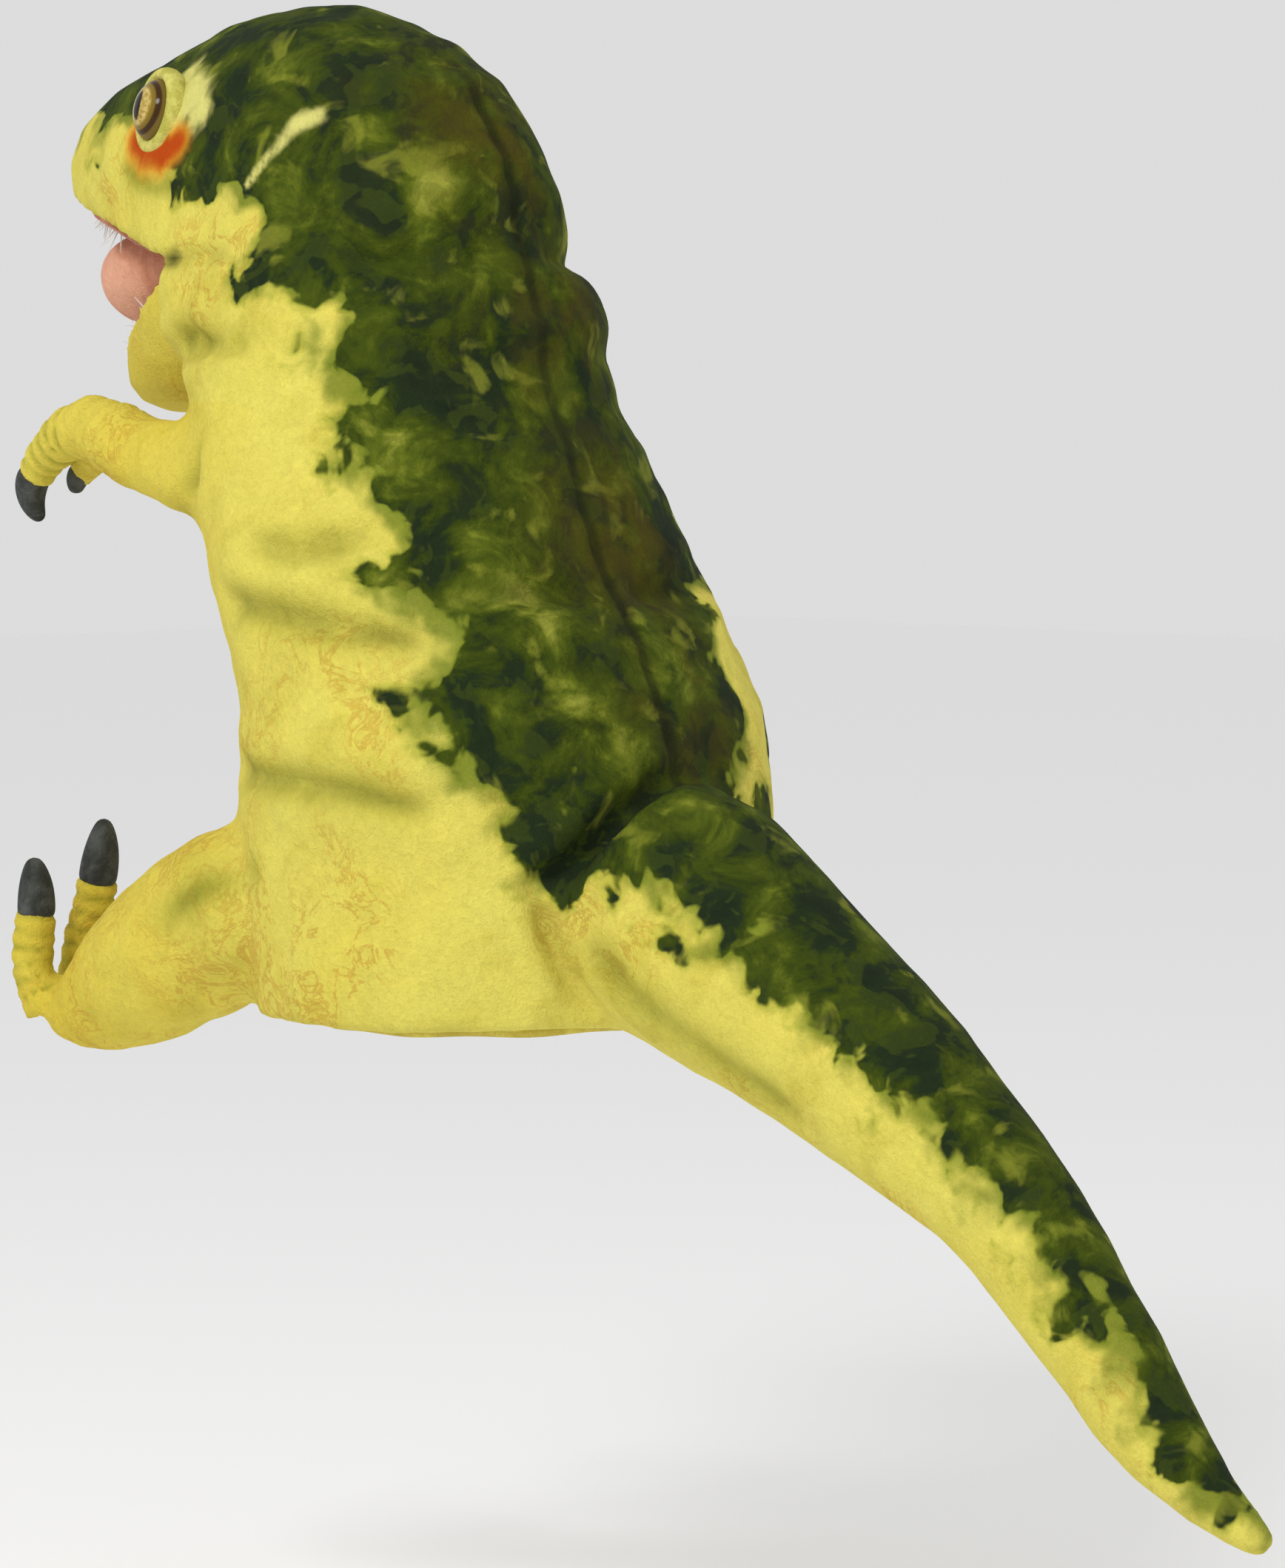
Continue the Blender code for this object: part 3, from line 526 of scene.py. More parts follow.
CHIN_SEAM = metres((0, -105, 190), (0, -100, 160), (0, -86, 125), (0, -80, 60), (0, -76, 10))
RINGED = (  # a limb that is gathered in rings, and their pitch
    (OUTER_TOE_LINE, 0.0056), (INNER_TOE_LINE, 0.0058), (ARM_LINE[2:], 0.0060),
)
FOLD_GAIN, FADE = 1.25, 0.014
SEAM_DEPTH, STITCH_PITCH, RING_DEPTH = 0.0018, 0.014, 0.0009
LUMP_HEIGHT, RIPPLE_HEIGHT = 0.0017, 0.00035


def fold_lines():
    """Each fold's points, depth, width and shading. One that doesn't end on the middle is mirrored too."""
    for shading, *rows in FOLDS.values():
        (depth, width), *points = metres(*rows)
        yield points, depth, width, shading
        if points[-1][0] > 0:
            yield mirrored(points), depth, width, shading


def crease_skin(obj):
    points, normals = points_of(obj), normals_of(obj)
    rise = np.zeros(len(points))
    for line, depth, width, _ in fold_lines():
        distance, along = line_distance(points, line)
        fade = np.clip(0.3 + along / FADE, 0, 1) * np.clip(0.3 + (along.max() - along) / FADE, 0, 1)
        swell = 0.42 * bell(distance - 2.4 * width, 1.5 * width)
        rise += fade * FOLD_GAIN * depth * (swell - bell(distance, width))
    for seam in (BACK_SEAM, CHIN_SEAM):
        distance, along = line_distance(points, seam)
        pucker = 0.75 + 0.25 * np.sin(along * math.tau / STITCH_PITCH)
        rise -= SEAM_DEPTH * pucker * bell(distance, 0.0026)
    for line, pitch in RINGED:
        for toe in (line, mirrored(line)):
            distance, along = line_distance(points, toe)
            reach = max(point[3] for point in toe) * 1.25
            ring = 0.5 + 0.5 * np.cos(along * math.tau / pitch)
            rise -= RING_DEPTH * ring**3 * (distance < reach) * (along > pitch)
    lumps = np.array([noise.fractal(Vector(p) * 26, 0.9, 2.1, 3) for p in points])
    ripples = np.array([noise.noise(Vector(p) * 95 + Vector((3, 7, 1))) for p in points])
    slim = rising(np.abs(points[:, 1] + 0.02), 0.10, 0.05)  # the limbs and the tail are less lumpy
    rise += (LUMP_HEIGHT * lumps + RIPPLE_HEIGHT * ripples) * (1 - 0.75 * slim)
    set_points(obj, points + normals * rise[:, None])


crease_skin(skin)
print("folds drawn:", len(list(fold_lines())))

# %% [markdown]
# ## Pieces cut at the joints
# The skin is cut square across each limb just inside its joint, and each cut end is closed. A piece that
# lies between two bodies, such as a limb between the body it leaves and the body it ends on, stays in
# place.

# %% Cut the skin into its pieces
TAIL_CUTS = (Vector((0, 0.104, 0.029)), Vector((0, 0.172, -0.007)), Vector((0, 0.232, -0.0525)))
TAIL_ENDS = (Vector((0, 0.138, 0.011)), Vector((0, 0.207, -0.0305)), Vector((0, 0.264, -0.086)))
TAIL_BODIES = ("torso", "tail_base", "tail_mid", "tail_tip")
SIDES = ((1, "left"), (-1, "right"))
CUT_MARGIN = 0.006
ARM_CUT, ARM_END = -0.0985, -0.119
JAW_BEND_START, JAW_BEND_END = (0, -0.114, 0.215), (0, -0.138, 0.215)
LEG_CUT, LEG_END = -0.0850, -0.119


def in_arm(p, side, past=0.0):
    return p.x * side > 0.034 and p.y < ARM_CUT + past and 0.150 < p.z < 0.210


def in_leg(p, side, past=0.0):
    return p.x * side > 0 and p.y < LEG_CUT + past and p.z < 0.080


def piece_of(p):
    """The name of the piece that a point of the skin belongs to."""
    name = "body"
    if p.y > 0.09:
        for cut, end, body in zip(TAIL_CUTS, TAIL_ENDS, TAIL_BODIES[1:]):
            if (p - cut).dot(end - cut) > 0:
                name = body
        return name
    for side, word in SIDES:
        if in_arm(p, side):
            name = f"{word}_arm"
        elif in_leg(p, side):
            name = f"{word}_leg"
    return name


def cut_across(bm, place, normal, near):
    """Splits the faces near a joint along a plane."""
    faces = [face for face in bm.faces if near(face.calc_center_median())]
    geom = dict.fromkeys(faces)
    for face in faces:
        geom.update(dict.fromkeys(face.edges))
        geom.update(dict.fromkeys(face.verts))
    bmesh.ops.bisect_plane(bm, geom=list(geom), plane_co=place, plane_no=normal, dist=1e-5)


def split_skin(obj):
    """The skin's pieces by name, each with its cut ends closed."""
    bm = bmesh.new()
    bm.from_mesh(obj.data)
    for cut, end in zip(TAIL_CUTS, TAIL_ENDS):
        cut_across(bm, cut, end - cut, lambda p, c=cut: (p - c).length < 0.06 and p.y > 0.08)
    for side, _ in SIDES:
        for cut, inside in ((ARM_CUT, in_arm), (LEG_CUT, in_leg)):
            cut_across(bm, (0, cut, 0), (0, 1, 0), lambda p, i=inside, s=side: i(p, s, CUT_MARGIN))
    labels = [piece_of(face.calc_center_median()) for face in bm.faces]
    pieces = {}
    for name in sorted(set(labels)):
        part = bm.copy()
        others = [face for face, label in zip(part.faces, labels) if label != name]
        bmesh.ops.delete(part, geom=others, context="FACES")
        rims = [edge for edge in part.edges if edge.is_boundary]
        caps = bmesh.ops.holes_fill(part, edges=rims, sides=0)["faces"]
        for cap in caps:
            for edge in cap.edges:
                edge.smooth = False
        bmesh.ops.triangulate(part, faces=caps)
        pieces[name] = smooth(mesh_object(f"{name}_plush", part))
    bm.free()
    return pieces


plush = split_skin(skin)
remove(skin)
for name, piece in plush.items():
    print(name, len(piece.data.polygons), "faces")

# %% [markdown]
# ## The lower jaw
# The jaw is its own stuffed pouch, sewn in under the cheeks. Its front turns on the wearer's thumb, and its
# back edge stays with the head, tucked into the throat, so the plush between them bends.

# %% Jaw pouch
def jaw_pouch():
    obj = level_volume("jaw_plush", JAW_RINGS, taper=JAW_TAPER)
    bm = bmesh.new()
    bm.from_mesh(obj.data)
    slope = Vector((0, math.sin(LOWER_LIP), math.cos(LOWER_LIP)))
    place = MOUTH_HINGE - Vector((0, 0, LIP_OFFSET))
    geom = list(bm.verts) + list(bm.edges) + list(bm.faces)
    bmesh.ops.bisect_plane(bm, geom=geom, plane_co=place, plane_no=slope, clear_outer=True)
    bmesh.ops.holes_fill(bm, edges=[edge for edge in bm.edges if edge.is_boundary], sides=0)
    bmesh.ops.recalc_face_normals(bm, faces=bm.faces)
    bm.to_mesh(obj.data)
    bm.free()
    remesh(obj, 0.0018)
    relax(obj, 10)
    add_lumps(obj, 34, 0.0011)
    return smooth(obj)


plush["jaw"] = jaw_pouch()
print("jaw:", len(plush["jaw"].data.vertices), "points")

# %% [markdown]
# ## Airbrushing and painted shade, as attributes
# The dark saddle and the tints around the eyes belong to places on the cloth. The painted shade in the
# folds, seams and creases is laid with them. They are all stored as attributes at rest, so they stay on the
# cloth when a limb bends. The shader adds the leafy edges.

# %% Where the saddle of dark green begins
BODY_AXIS = metres(  # height, y
    (5, 0), (60, 1), (100, -3), (122, -11), (149, -24), (171, -33), (185, -38), (212, -48), (244, -56),
    (268, -68), (292, -73), (316, -80),
)
SADDLE_START = (  # height in metres, degrees round from the front
    (0.030, 176), (0.051, 146), (0.075, 142), (0.090, 124), (0.107, 120), (0.126, 129), (0.144, 119),
    (0.155, 132), (0.181, 115), (0.198, 124), (0.213, 113), (0.228, 124), (0.246, 96), (0.258, 84),
    (0.271, 66), (0.280, 58), (0.288, 45), (0.296, 18), (0.303, -40),
)
RIGHT_SHIFT = (  # height, degrees more on the far side
    (0.05, 10), (0.085, 22), (0.125, 20), (0.150, 0), (0.225, 0), (0.240, 16), (0.258, 16), (0.272, 0),
)
TAIL_START = ((0.0, 56), (0.04, 62), (0.12, 62), (0.19, 60), (0.24, 54), (0.28, 46), (0.31, 48))
TAIL_CRISPNESS = 1.1
TAIL_SEAM, TAIL_AIM = np.array((0, 0.078, 0.045)), np.array((0, 0.93, -0.37))
DEGREES = 57.3  # in a radian


def saddle_depth(points):
    """Millimetres inside the dark green, negative on the yellow."""
    heights, centres = zip(*BODY_AXIS)
    offset = points[:, 1] - np.interp(points[:, 2], heights, centres)
    around = np.degrees(np.arctan2(np.abs(points[:, 0]), -offset))
    heights, starts = zip(*SADDLE_START)
    radius = np.hypot(points[:, 0], offset)
    start = np.interp(points[:, 2], heights, starts)
    heights, shifts = zip(*RIGHT_SHIFT)
    start += np.interp(points[:, 2], heights, shifts) * (points[:, 0] < 0)
    on_body = (around - start) * radius / DEGREES
    distance, along, rise = along_line(points, TAIL_LINE)
    turned = np.degrees(np.arctan2(np.abs(points[:, 0]), rise))
    lengths, starts = zip(*TAIL_START)
    on_tail = TAIL_CRISPNESS * (np.interp(along, lengths, starts) - turned) * distance / DEGREES
    seam = (points - TAIL_SEAM) @ TAIL_AIM
    share = np.clip(seam / 0.006 + 0.5, 0, 1)
    return 1000 * (on_body * (1 - share) + on_tail * share)


# %% Tints of the face and the limbs
EYE = Vector((0.0425, -0.119, 0.2955))
EMBER_CRESCENT = metres((43, -130, 286.5), (45.5, -121, 281.5), (48, -110, 280.5), (49, -102, 284.5))
EMBER_ARC = metres((43, -132, 277), (48, -122, 272.5), (51, -110, 270), (53, -97, 271.5), (53, -89, 277))
CHEEK_PALES = metres((57, -86, 257, 12), (59, -70, 257, 12), (58, -56, 260, 10), (57, -66, 266, 7))
FAR_PALES = metres((-36, 0, 246, 10), (-30, 6, 232, 8), (-56, 40, 130, 11), (-56, 56, 104, 14))
LID_PATCH = metres(
    (44, -105, 297, 9.5), (42, -98, 299, 9.5), (45, -94, 293, 8), (36, -110, 305, 8.5),
    (40, -104, 303, 8.5), (40, -128, 299, 6),
)
# Painted shade: a dark slit in the corner of the mouth.
MOUTH_CORNER_SHADE = metres((45, -110.5, 245), (50, -104, 245.5), (55, -96, 247))
CHEEK_STREAK = metres((55.5, -60, 270), (53, -52, 280), (47, -45, 289), (43, -40, 292))
GREEN_DABS = metres(
    (67, 53, 91, 7), (49, 69, 67, 7), (55, -31, 247, 8), (60, -50, 247, 6), (53, -41, 252, 7),
    (55, -86, 270, 6), (56, -70, 276, 7), (51, -85, 283, 6), (0, -200, 293, 9), (16, -192, 296, 8),
    (30, -160, 300, 8),
)
PALE_DABS = metres(
    (12, -2, 284, 9), (27, 0, 268, 11), (34, 53, 129, 10), (33, 66, 108, 9), (44, 31, 157, 7),
    (-12, 12, 221, 7), (-22, 34, 172, 7), (-10, 70, 110, 9), (35, -21, 288, 8), (-34, -4, 250, 10),
    (20, 78, 90, 10), (26, 100, 45, 8),
)
OLIVE_PLACES = metres((-10, 12, 225, 30), (-15, 45, 160, 34), (-5, -4, 290, 34), (-12, 75, 105, 26))
# Painted shade along the front of the thigh.
THIGH_SHADE = metres((86, -30, 52), (84, -50, 46), (80, -66, 36), (74, -76, 29))


def store(obj, name, values):
    """Keeps a number or a vector for each point as an attribute."""
    kind, key = ("FLOAT", "value") if np.ndim(values) == 1 else ("FLOAT_VECTOR", "vector")
    attribute = obj.data.attributes.new(name, kind, "POINT")
    attribute.data.foreach_set(key, np.ascontiguousarray(values, np.float32).ravel())


def airbrush_and_shade(obj, saddle=True, warm=0.0):
    """Stores where each colour of the airbrushing and of the painted shade goes on one plush piece."""
    points = points_of(obj)
    folded = both_sides(points)
    depth = saddle_depth(points) if saddle else np.full(len(points), -40.0)
    for *place, radius in GREEN_DABS:
        reach = np.linalg.norm(folded - np.array(place), axis=1)
        depth = np.maximum(depth, 1000 * (radius - reach))
    lid = spots(folded, LID_PATCH)
    depth = depth - 34 * lid - 24 * spots(folded, CHEEK_PALES) - 26 * spots(points, FAR_PALES)
    shade = np.zeros(len(points))
    crease = np.zeros(len(points))
    # Painted shade along the back and chin seams, in the mouth's corner and in the cores of the folds.
    for seam, strength, width in ((BACK_SEAM, 0.90, 0.0018), (CHIN_SEAM, 0.50, 0.0012)):
        near = bell(line_distance(points, seam)[0], 0.014)
        crease = np.maximum(crease, strength * near * bell(points[:, 0], width))
    crease = np.maximum(crease, 0.92 * bell(line_distance(folded, MOUTH_CORNER_SHADE)[0], 0.0026))
    # Painted shade along the folds, fading towards their ends.
    for line, _, width, strength in fold_lines():
        distance, along = line_distance(points, line)
        fade = np.clip(along / FADE, 0, 1) * np.clip((along.max() - along) / FADE, 0, 1)
        shade = np.maximum(shade, 0.95 * strength * fade * bell(distance, 1.7 * width))
        crease = np.maximum(crease, 0.34 * fade * bell(distance, 0.6 * width))
    # Painted shade along the thigh, and the same olive along an arc under the orange patch below the eye.
    for line, width in ((THIGH_SHADE, 0.0062), (EMBER_ARC, 0.0036)):
        shade = np.maximum(shade, bell(line_distance(folded, line)[0], width))
    # Painted shade in the grooves between the rings of the toes and the arm.
    for line, pitch in RINGED:
        distance, along = line_distance(folded, line)
        ring = (0.5 + 0.5 * np.cos(along * math.tau / pitch)) ** 4
        near = (distance < 0.0095) & (along > pitch)
        shade = np.maximum(shade, 0.8 * ring * near)
    streak, along = line_distance(folded, CHEEK_STREAK)
    streak = 0.78 * bell(streak, 0.0019 + 0.0022 * rising(along, 0, 0.028))
    forward, height = -points[:, 1], points[:, 2]
    heel = 0.55 * rising(forward, 0.095, 0.03) * (height < 0.05)
    arm = 0.38 * rising(forward, 0.085, 0.02) * (height > 0.15) * (height < 0.215)
    belly = 0.35 * rising(forward, 0.03, 0.05) * (height < 0.20)
    warm = np.maximum.reduce((np.full(len(points), warm), heel, arm, belly))
    ember = bell(line_distance(folded, EMBER_CRESCENT)[0], 0.0082)
    store(obj, "rest", points)
    store(obj, "crease", crease)
    store(obj, "saddle", depth)
    store(obj, "tints", np.column_stack((ember, np.maximum(lid, streak), spots(points, OLIVE_PLACES))))
    # Painted shade in the folds, on the thigh and in the rings, then the warmer yellow, then the pale dabs.
    store(obj, "shade_warmth_pale", np.column_stack((shade, warm, spots(points, PALE_DABS))))


for name, piece in plush.items():
    airbrush_and_shade(piece, saddle=name == "body" or "tail" in name, warm=0.28 if name == "jaw" else 0.0)
print("airbrushed:", sorted(plush))

# %% [markdown]
# ## Node groups for plush
# Every fabric here has the same short pile, so the pile is one node group that gives a value, a roughness
# and a normal. The airbrushing, with the painted shade of the folds, seams and creases, is another group.
# The shader itself stays in each material.

# %% A small helper for node trees
class Tree:
    """Adds and links nodes of one tree."""

    def __init__(self, tree):
        self.nodes, self.links = tree.nodes, tree.links

    def add(self, kind, settings=None, **values):
        node = self.nodes.new(kind)
        for key, value in (settings or {}).items():
            setattr(node, key, value)
        for key, value in values.items():
            self.feed(node.inputs[key.replace("_", " ")], value)
        return node

    def feed(self, socket, value):
        if isinstance(value, bpy.types.NodeSocket):
            self.links.new(value, socket)
        elif value is not None:
            socket.default_value = value

    def math(self, operation, a, b=0.0, c=0.0, clamp=False):
        node = self.nodes.new("ShaderNodeMath")
        node.operation = operation
        node.use_clamp = clamp
        for socket, value in zip(node.inputs, (a, b, c)):
            self.feed(socket, value)
        return node.outputs[0]

    def mix(self, factor, a, b, blend="MIX"):
        node = self.nodes.new("ShaderNodeMix")
        node.data_type = "RGBA"
        node.blend_type = blend
        self.feed(node.inputs[0], factor)
        self.feed(node.inputs[6], a)
        self.feed(node.inputs[7], b)
        return node.outputs[2]

    def noise(self, place, scale, detail=2.0, rough=0.5, distortion=0.0):
        values = {"Scale": scale, "Detail": detail, "Roughness": rough, "Distortion": distortion}
        return self.add("ShaderNodeTexNoise", Vector=place, **values).outputs["Fac"]

    def tint(self, base, mask, strength, colour):
        """The base colour, with another laid over it where the mask is."""
        return self.mix(self.math("MULTIPLY", mask, strength), base, colour)

    def step(self, value, low, high):
        node = self.add("ShaderNodeMapRange", {"interpolation_type": "SMOOTHSTEP"}, Value=value)
        node.inputs["From Min"].default_value = low
        node.inputs["From Max"].default_value = high
        return node.outputs[0]

    def ramp(self, value, stops):
        node = self.nodes.new("ShaderNodeValToRGB")
        self.feed(node.inputs[0], value)
        elements = node.color_ramp.elements
        while len(elements) < len(stops):
            elements.new(0.5)
        for element, (place, colour) in zip(elements, stops):
            element.position = place
            element.color = (*colour, 1)
        return node.outputs[0]


def group(name, inputs, outputs):
    tree = bpy.data.node_groups.new(name, "ShaderNodeTree")
    for label, kind in inputs:
        tree.interface.new_socket(label, in_out="INPUT", socket_type=kind)
    for label, kind in outputs:
        tree.interface.new_socket(label, in_out="OUTPUT", socket_type=kind)
    work = Tree(tree)
    return tree, work, work.add("NodeGroupInput"), work.add("NodeGroupOutput")


VALUE, COLOUR, VECTOR = "NodeSocketFloat", "NodeSocketColor", "NodeSocketVector"

# %% The pile of the plush
PILE, t, given, out = group(
    "short_pile",
    (("Place", VECTOR), ("Colour", COLOUR), ("Depth", VALUE)),
    (("Colour", COLOUR), ("Roughness", VALUE), ("Normal", VECTOR)),
)
place = given.outputs["Place"]
fibres = t.noise(place, 1500, 2, 0.6, 0.4)
tufts = t.noise(place, 430, 3, 0.6, 0.8)
nap = t.noise(place, 60, 3, 0.6, 0.5)
slanted = {"bands_direction": "DIAGONAL"}
ribs = t.add("ShaderNodeTexWave", slanted, Vector=place, Scale=190.0, Distortion=5.0, Detail=2.0)
height = t.math("MULTIPLY_ADD", fibres, 0.5, t.math("MULTIPLY", tufts, 0.8))
height = t.math("MULTIPLY_ADD", ribs.outputs["Fac"], 0.05, height)
bump = t.add("ShaderNodeBump", Height=height, Distance=0.0011)
t.feed(bump.inputs["Strength"], given.outputs["Depth"])
shade = t.math("MULTIPLY_ADD", fibres, 0.24, 0.60)
shade = t.math("MULTIPLY_ADD", tufts, 0.34, t.math("MULTIPLY_ADD", nap, 0.22, shade))
shaded = t.add("ShaderNodeVectorMath", {"operation": "SCALE"}, Vector=given.outputs["Colour"], Scale=shade)
t.links.new(shaded.outputs[0], out.inputs["Colour"])
t.links.new(t.math("MULTIPLY_ADD", tufts, 0.22, 0.76, clamp=True), out.inputs["Roughness"])
t.links.new(bump.outputs[0], out.inputs["Normal"])
print("pile group:", len(PILE.nodes), "nodes")

# %% The airbrushed colours and the painted shade
LIGHT_YELLOW, WARM_YELLOW = (0.69, 0.62, 0.120, 1), (0.64, 0.48, 0.035, 1)
SHADE_GREEN, VEIN = (0.33, 0.35, 0.030, 1), (0.50, 0.27, 0.035, 1)
EMBER, GLOW, PALE = (0.46, 0.060, 0.003, 1), (0.66, 0.27, 0.015, 1), (0.68, 0.64, 0.19, 1)
OLIVE, LEAF_GREEN = (0.075, 0.058, 0.004, 1), (0.115, 0.165, 0.010, 1)
MID_GREEN, FLECK = (0.062, 0.088, 0.005, 1), (0.24, 0.26, 0.025, 1)
# FOLD_SHADE and the last colour here are painted shade, for the folds and for the seams and creases.
STAIN, FOLD_SHADE, CREASE_SHADE = (0.46, 0.38, 0.035, 1), (0.27, 0.27, 0.022, 1), (0.012, 0.014, 0.004, 1)
DARK_GREENS = (
    (0.30, (0.010, 0.017, 0.007)), (0.45, (0.015, 0.026, 0.008)), (0.51, (0.030, 0.047, 0.003)),
    (0.58, (0.050, 0.072, 0.004)), (0.66, (0.110, 0.138, 0.009)), (0.80, (0.30, 0.31, 0.04)),
)

BRUSH, t, given, out = group(
    "airbrush_and_shade",
    (("Place", VECTOR), ("Saddle", VALUE), ("Tints", VECTOR), ("Wear", VECTOR), ("Crease", VALUE)),
    (("Colour", COLOUR),),
)
place = given.outputs["Place"]
tints = t.add("ShaderNodeSeparateXYZ", Vector=given.outputs["Tints"]).outputs
# Painted shade, the warmer yellow and the pale dabs, in this order.
shade_warmth_pale = t.add("ShaderNodeSeparateXYZ", Vector=given.outputs["Wear"]).outputs
leaves = t.math("SUBTRACT", t.noise(place, 36, 2.0, 0.5, 0.5), 0.5)
lobes = t.math("SUBTRACT", t.noise(place, 105, 2, 0.5, 0.5), 0.5)
edge = t.math("MULTIPLY_ADD", leaves, 70, t.math("MULTIPLY_ADD", lobes, 32, given.outputs["Saddle"]))
gaps = t.math("MULTIPLY_ADD", shade_warmth_pale[2], 0.17, t.noise(place, 46, 5, 0.62, 0.45))
dark = t.ramp(gaps, DARK_GREENS)
dark = t.tint(dark, t.step(t.noise(place, 88, 2, 0.5, 0.7), 0.50, 0.56), 0.32, MID_GREEN)
dark = t.tint(dark, t.step(t.noise(place, 66, 3, 0.5, 0.6), 0.58, 0.72), 0.60, FLECK)
brown = t.math("MULTIPLY", tints[2], t.step(t.noise(place, 30, 3, 0.6, 0.6), 0.38, 0.62))
dark = t.tint(dark, brown, 0.8, OLIVE)
warmth = t.math("SUBTRACT", shade_warmth_pale[1], 0.16)
warmth = t.math("MULTIPLY_ADD", t.noise(place, 22, 3, 0.6, 0.5), 0.7, warmth, clamp=True)
yellow = t.mix(warmth, LIGHT_YELLOW, WARM_YELLOW)
yellow = t.tint(yellow, t.step(t.noise(place, 34, 4, 0.65, 0.7), 0.48, 0.70), 0.38, STAIN)
veins = t.math("ABSOLUTE", t.math("SUBTRACT", t.noise(place, 58, 4, 0.72, 0.9), 0.5))
veins = t.math("SUBTRACT", 1.0, t.step(veins, 0.004, 0.045))
patches = t.step(t.noise(place, 21, 2, 0.5, 0.3), 0.44, 0.62)
yellow = t.tint(yellow, t.math("MULTIPLY", veins, patches), 0.55, VEIN)
yellow = t.tint(yellow, t.step(edge, -8.0, 2.0), 0.70, SHADE_GREEN)
# Painted shade along the folds, laid over the yellow only.
shading = t.math("MULTIPLY_ADD", t.noise(place, 70, 2, 0.5, 0.4), 0.7, 0.45)
yellow = t.mix(t.math("MULTIPLY", shade_warmth_pale[0], shading, clamp=True), yellow, FOLD_SHADE)
pale = t.tint(yellow, tints[1], 0.85, PALE)
soft = t.math("SUBTRACT", given.outputs["Saddle"], 17)
soft = t.math("MULTIPLY_ADD", t.noise(place, 75, 2, 0.5, 0.3), 40, soft)
pale = t.tint(pale, t.step(soft, -7.0, 9.0), 0.80, LEAF_GREEN)
painted = t.mix(t.step(edge, -1.4, 3.2), pale, dark)
feathered = t.math("MULTIPLY_ADD", lobes, 0.9, tints[1])
painted = t.tint(painted, t.step(feathered, 0.22, 0.90), 0.95, PALE)
ember = t.math("MULTIPLY_ADD", lobes, 0.5, tints[0])
painted = t.tint(painted, t.step(ember, 0.15, 0.75), 0.85, GLOW)
painted = t.mix(t.step(ember, 0.50, 1.0), painted, EMBER)
# Painted shade in the seams and creases, the darkest colour, laid over every other.
painted = t.mix(given.outputs["Crease"], painted, CREASE_SHADE)
t.links.new(painted, out.inputs["Colour"])
print("airbrush group:", len(BRUSH.nodes), "nodes")

# %% Materials of the fabrics
def new_material(name, sheen=0.0, coat=0.0, ior=1.45, specular=0.12):
    material = bpy.data.materials.new(name)
    material.use_nodes = True
    work = Tree(material.node_tree)
    shader = material.node_tree.nodes["Principled BSDF"]
    shader.inputs["IOR"].default_value = ior
    shader.inputs["Specular IOR Level"].default_value = specular
    shader.inputs["Sheen Weight"].default_value = sheen
    shader.inputs["Sheen Roughness"].default_value = 0.45
    shader.inputs["Coat Weight"].default_value = coat
    return material, work, shader


def attribute_of(work, name):
    return work.add("ShaderNodeAttribute", {"attribute_name": name})


def surface(work, shader, colour, roughness, normal=None):
    work.feed(shader.inputs["Base Color"], colour)
    work.feed(shader.inputs["Roughness"], roughness)
    work.feed(shader.inputs["Normal"], normal)


def pile_on(work, shader, place, colour, depth):
    pile = work.add("ShaderNodeGroup", {"node_tree": PILE}, Place=place, Colour=colour, Depth=depth)
    surface(work, shader, *pile.outputs)


# The airbrushed colours and the painted shade in folds, seams and creases, on the short pile.
def plush_material():
    material, work, shader = new_material("airbrushed_and_shaded_plush")
    place = attribute_of(work, "rest").outputs["Vector"]
    brush = work.add(
        "ShaderNodeGroup", {"node_tree": BRUSH}, Place=place,
        Saddle=attribute_of(work, "saddle").outputs["Fac"],
        Tints=attribute_of(work, "tints").outputs["Vector"],
        Wear=attribute_of(work, "shade_warmth_pale").outputs["Vector"],
        Crease=attribute_of(work, "crease").outputs["Fac"],
    )
    pile_on(work, shader, place, brush.outputs["Colour"], 0.75)
    return material


def plain_fabric(name, low, high, scale=60.0, depth=0.6, sheen=0.03):
    """A one-colour fabric whose colour drifts between two tones."""
    material, work, shader = new_material(name, sheen)
    place = work.add("ShaderNodeTexCoord").outputs["Object"]
    drift = work.noise(place, scale, 3, 0.6, 0.6)
    colour = work.mix(work.step(drift, 0.35, 0.68), (*low, 1), (*high, 1))
    pile_on(work, shader, place, colour, depth)
    return material


AIRBRUSHED_AND_SHADED = plush_material()
TONGUE_PINK = plain_fabric("tongue_pink", (0.53, 0.22, 0.13), (0.70, 0.36, 0.24), 45)
MOUTH_PINK = plain_fabric("mouth_pink", (0.48, 0.19, 0.13), (0.62, 0.30, 0.22), 70)
CLAW_GREY = plain_fabric("claw_grey", (0.035, 0.038, 0.034), (0.085, 0.090, 0.085), 120, 0.8)
LINING = plain_fabric("lining_cream", (0.55, 0.50, 0.34), (0.68, 0.63, 0.46), 90, 0.25, 0.0)
LID_PLUSH = plain_fabric("lid_plush", (0.44, 0.42, 0.07), (0.66, 0.60, 0.16), 150, 0.7)
HEM_PLUSH = plain_fabric("hem_plush", (0.50, 0.40, 0.06), (0.68, 0.58, 0.11), 80, 0.7)
BRISTLE = plain_fabric("bristle_white", (0.66, 0.66, 0.62), (0.86, 0.86, 0.83), 400, 0.1, 0.0)


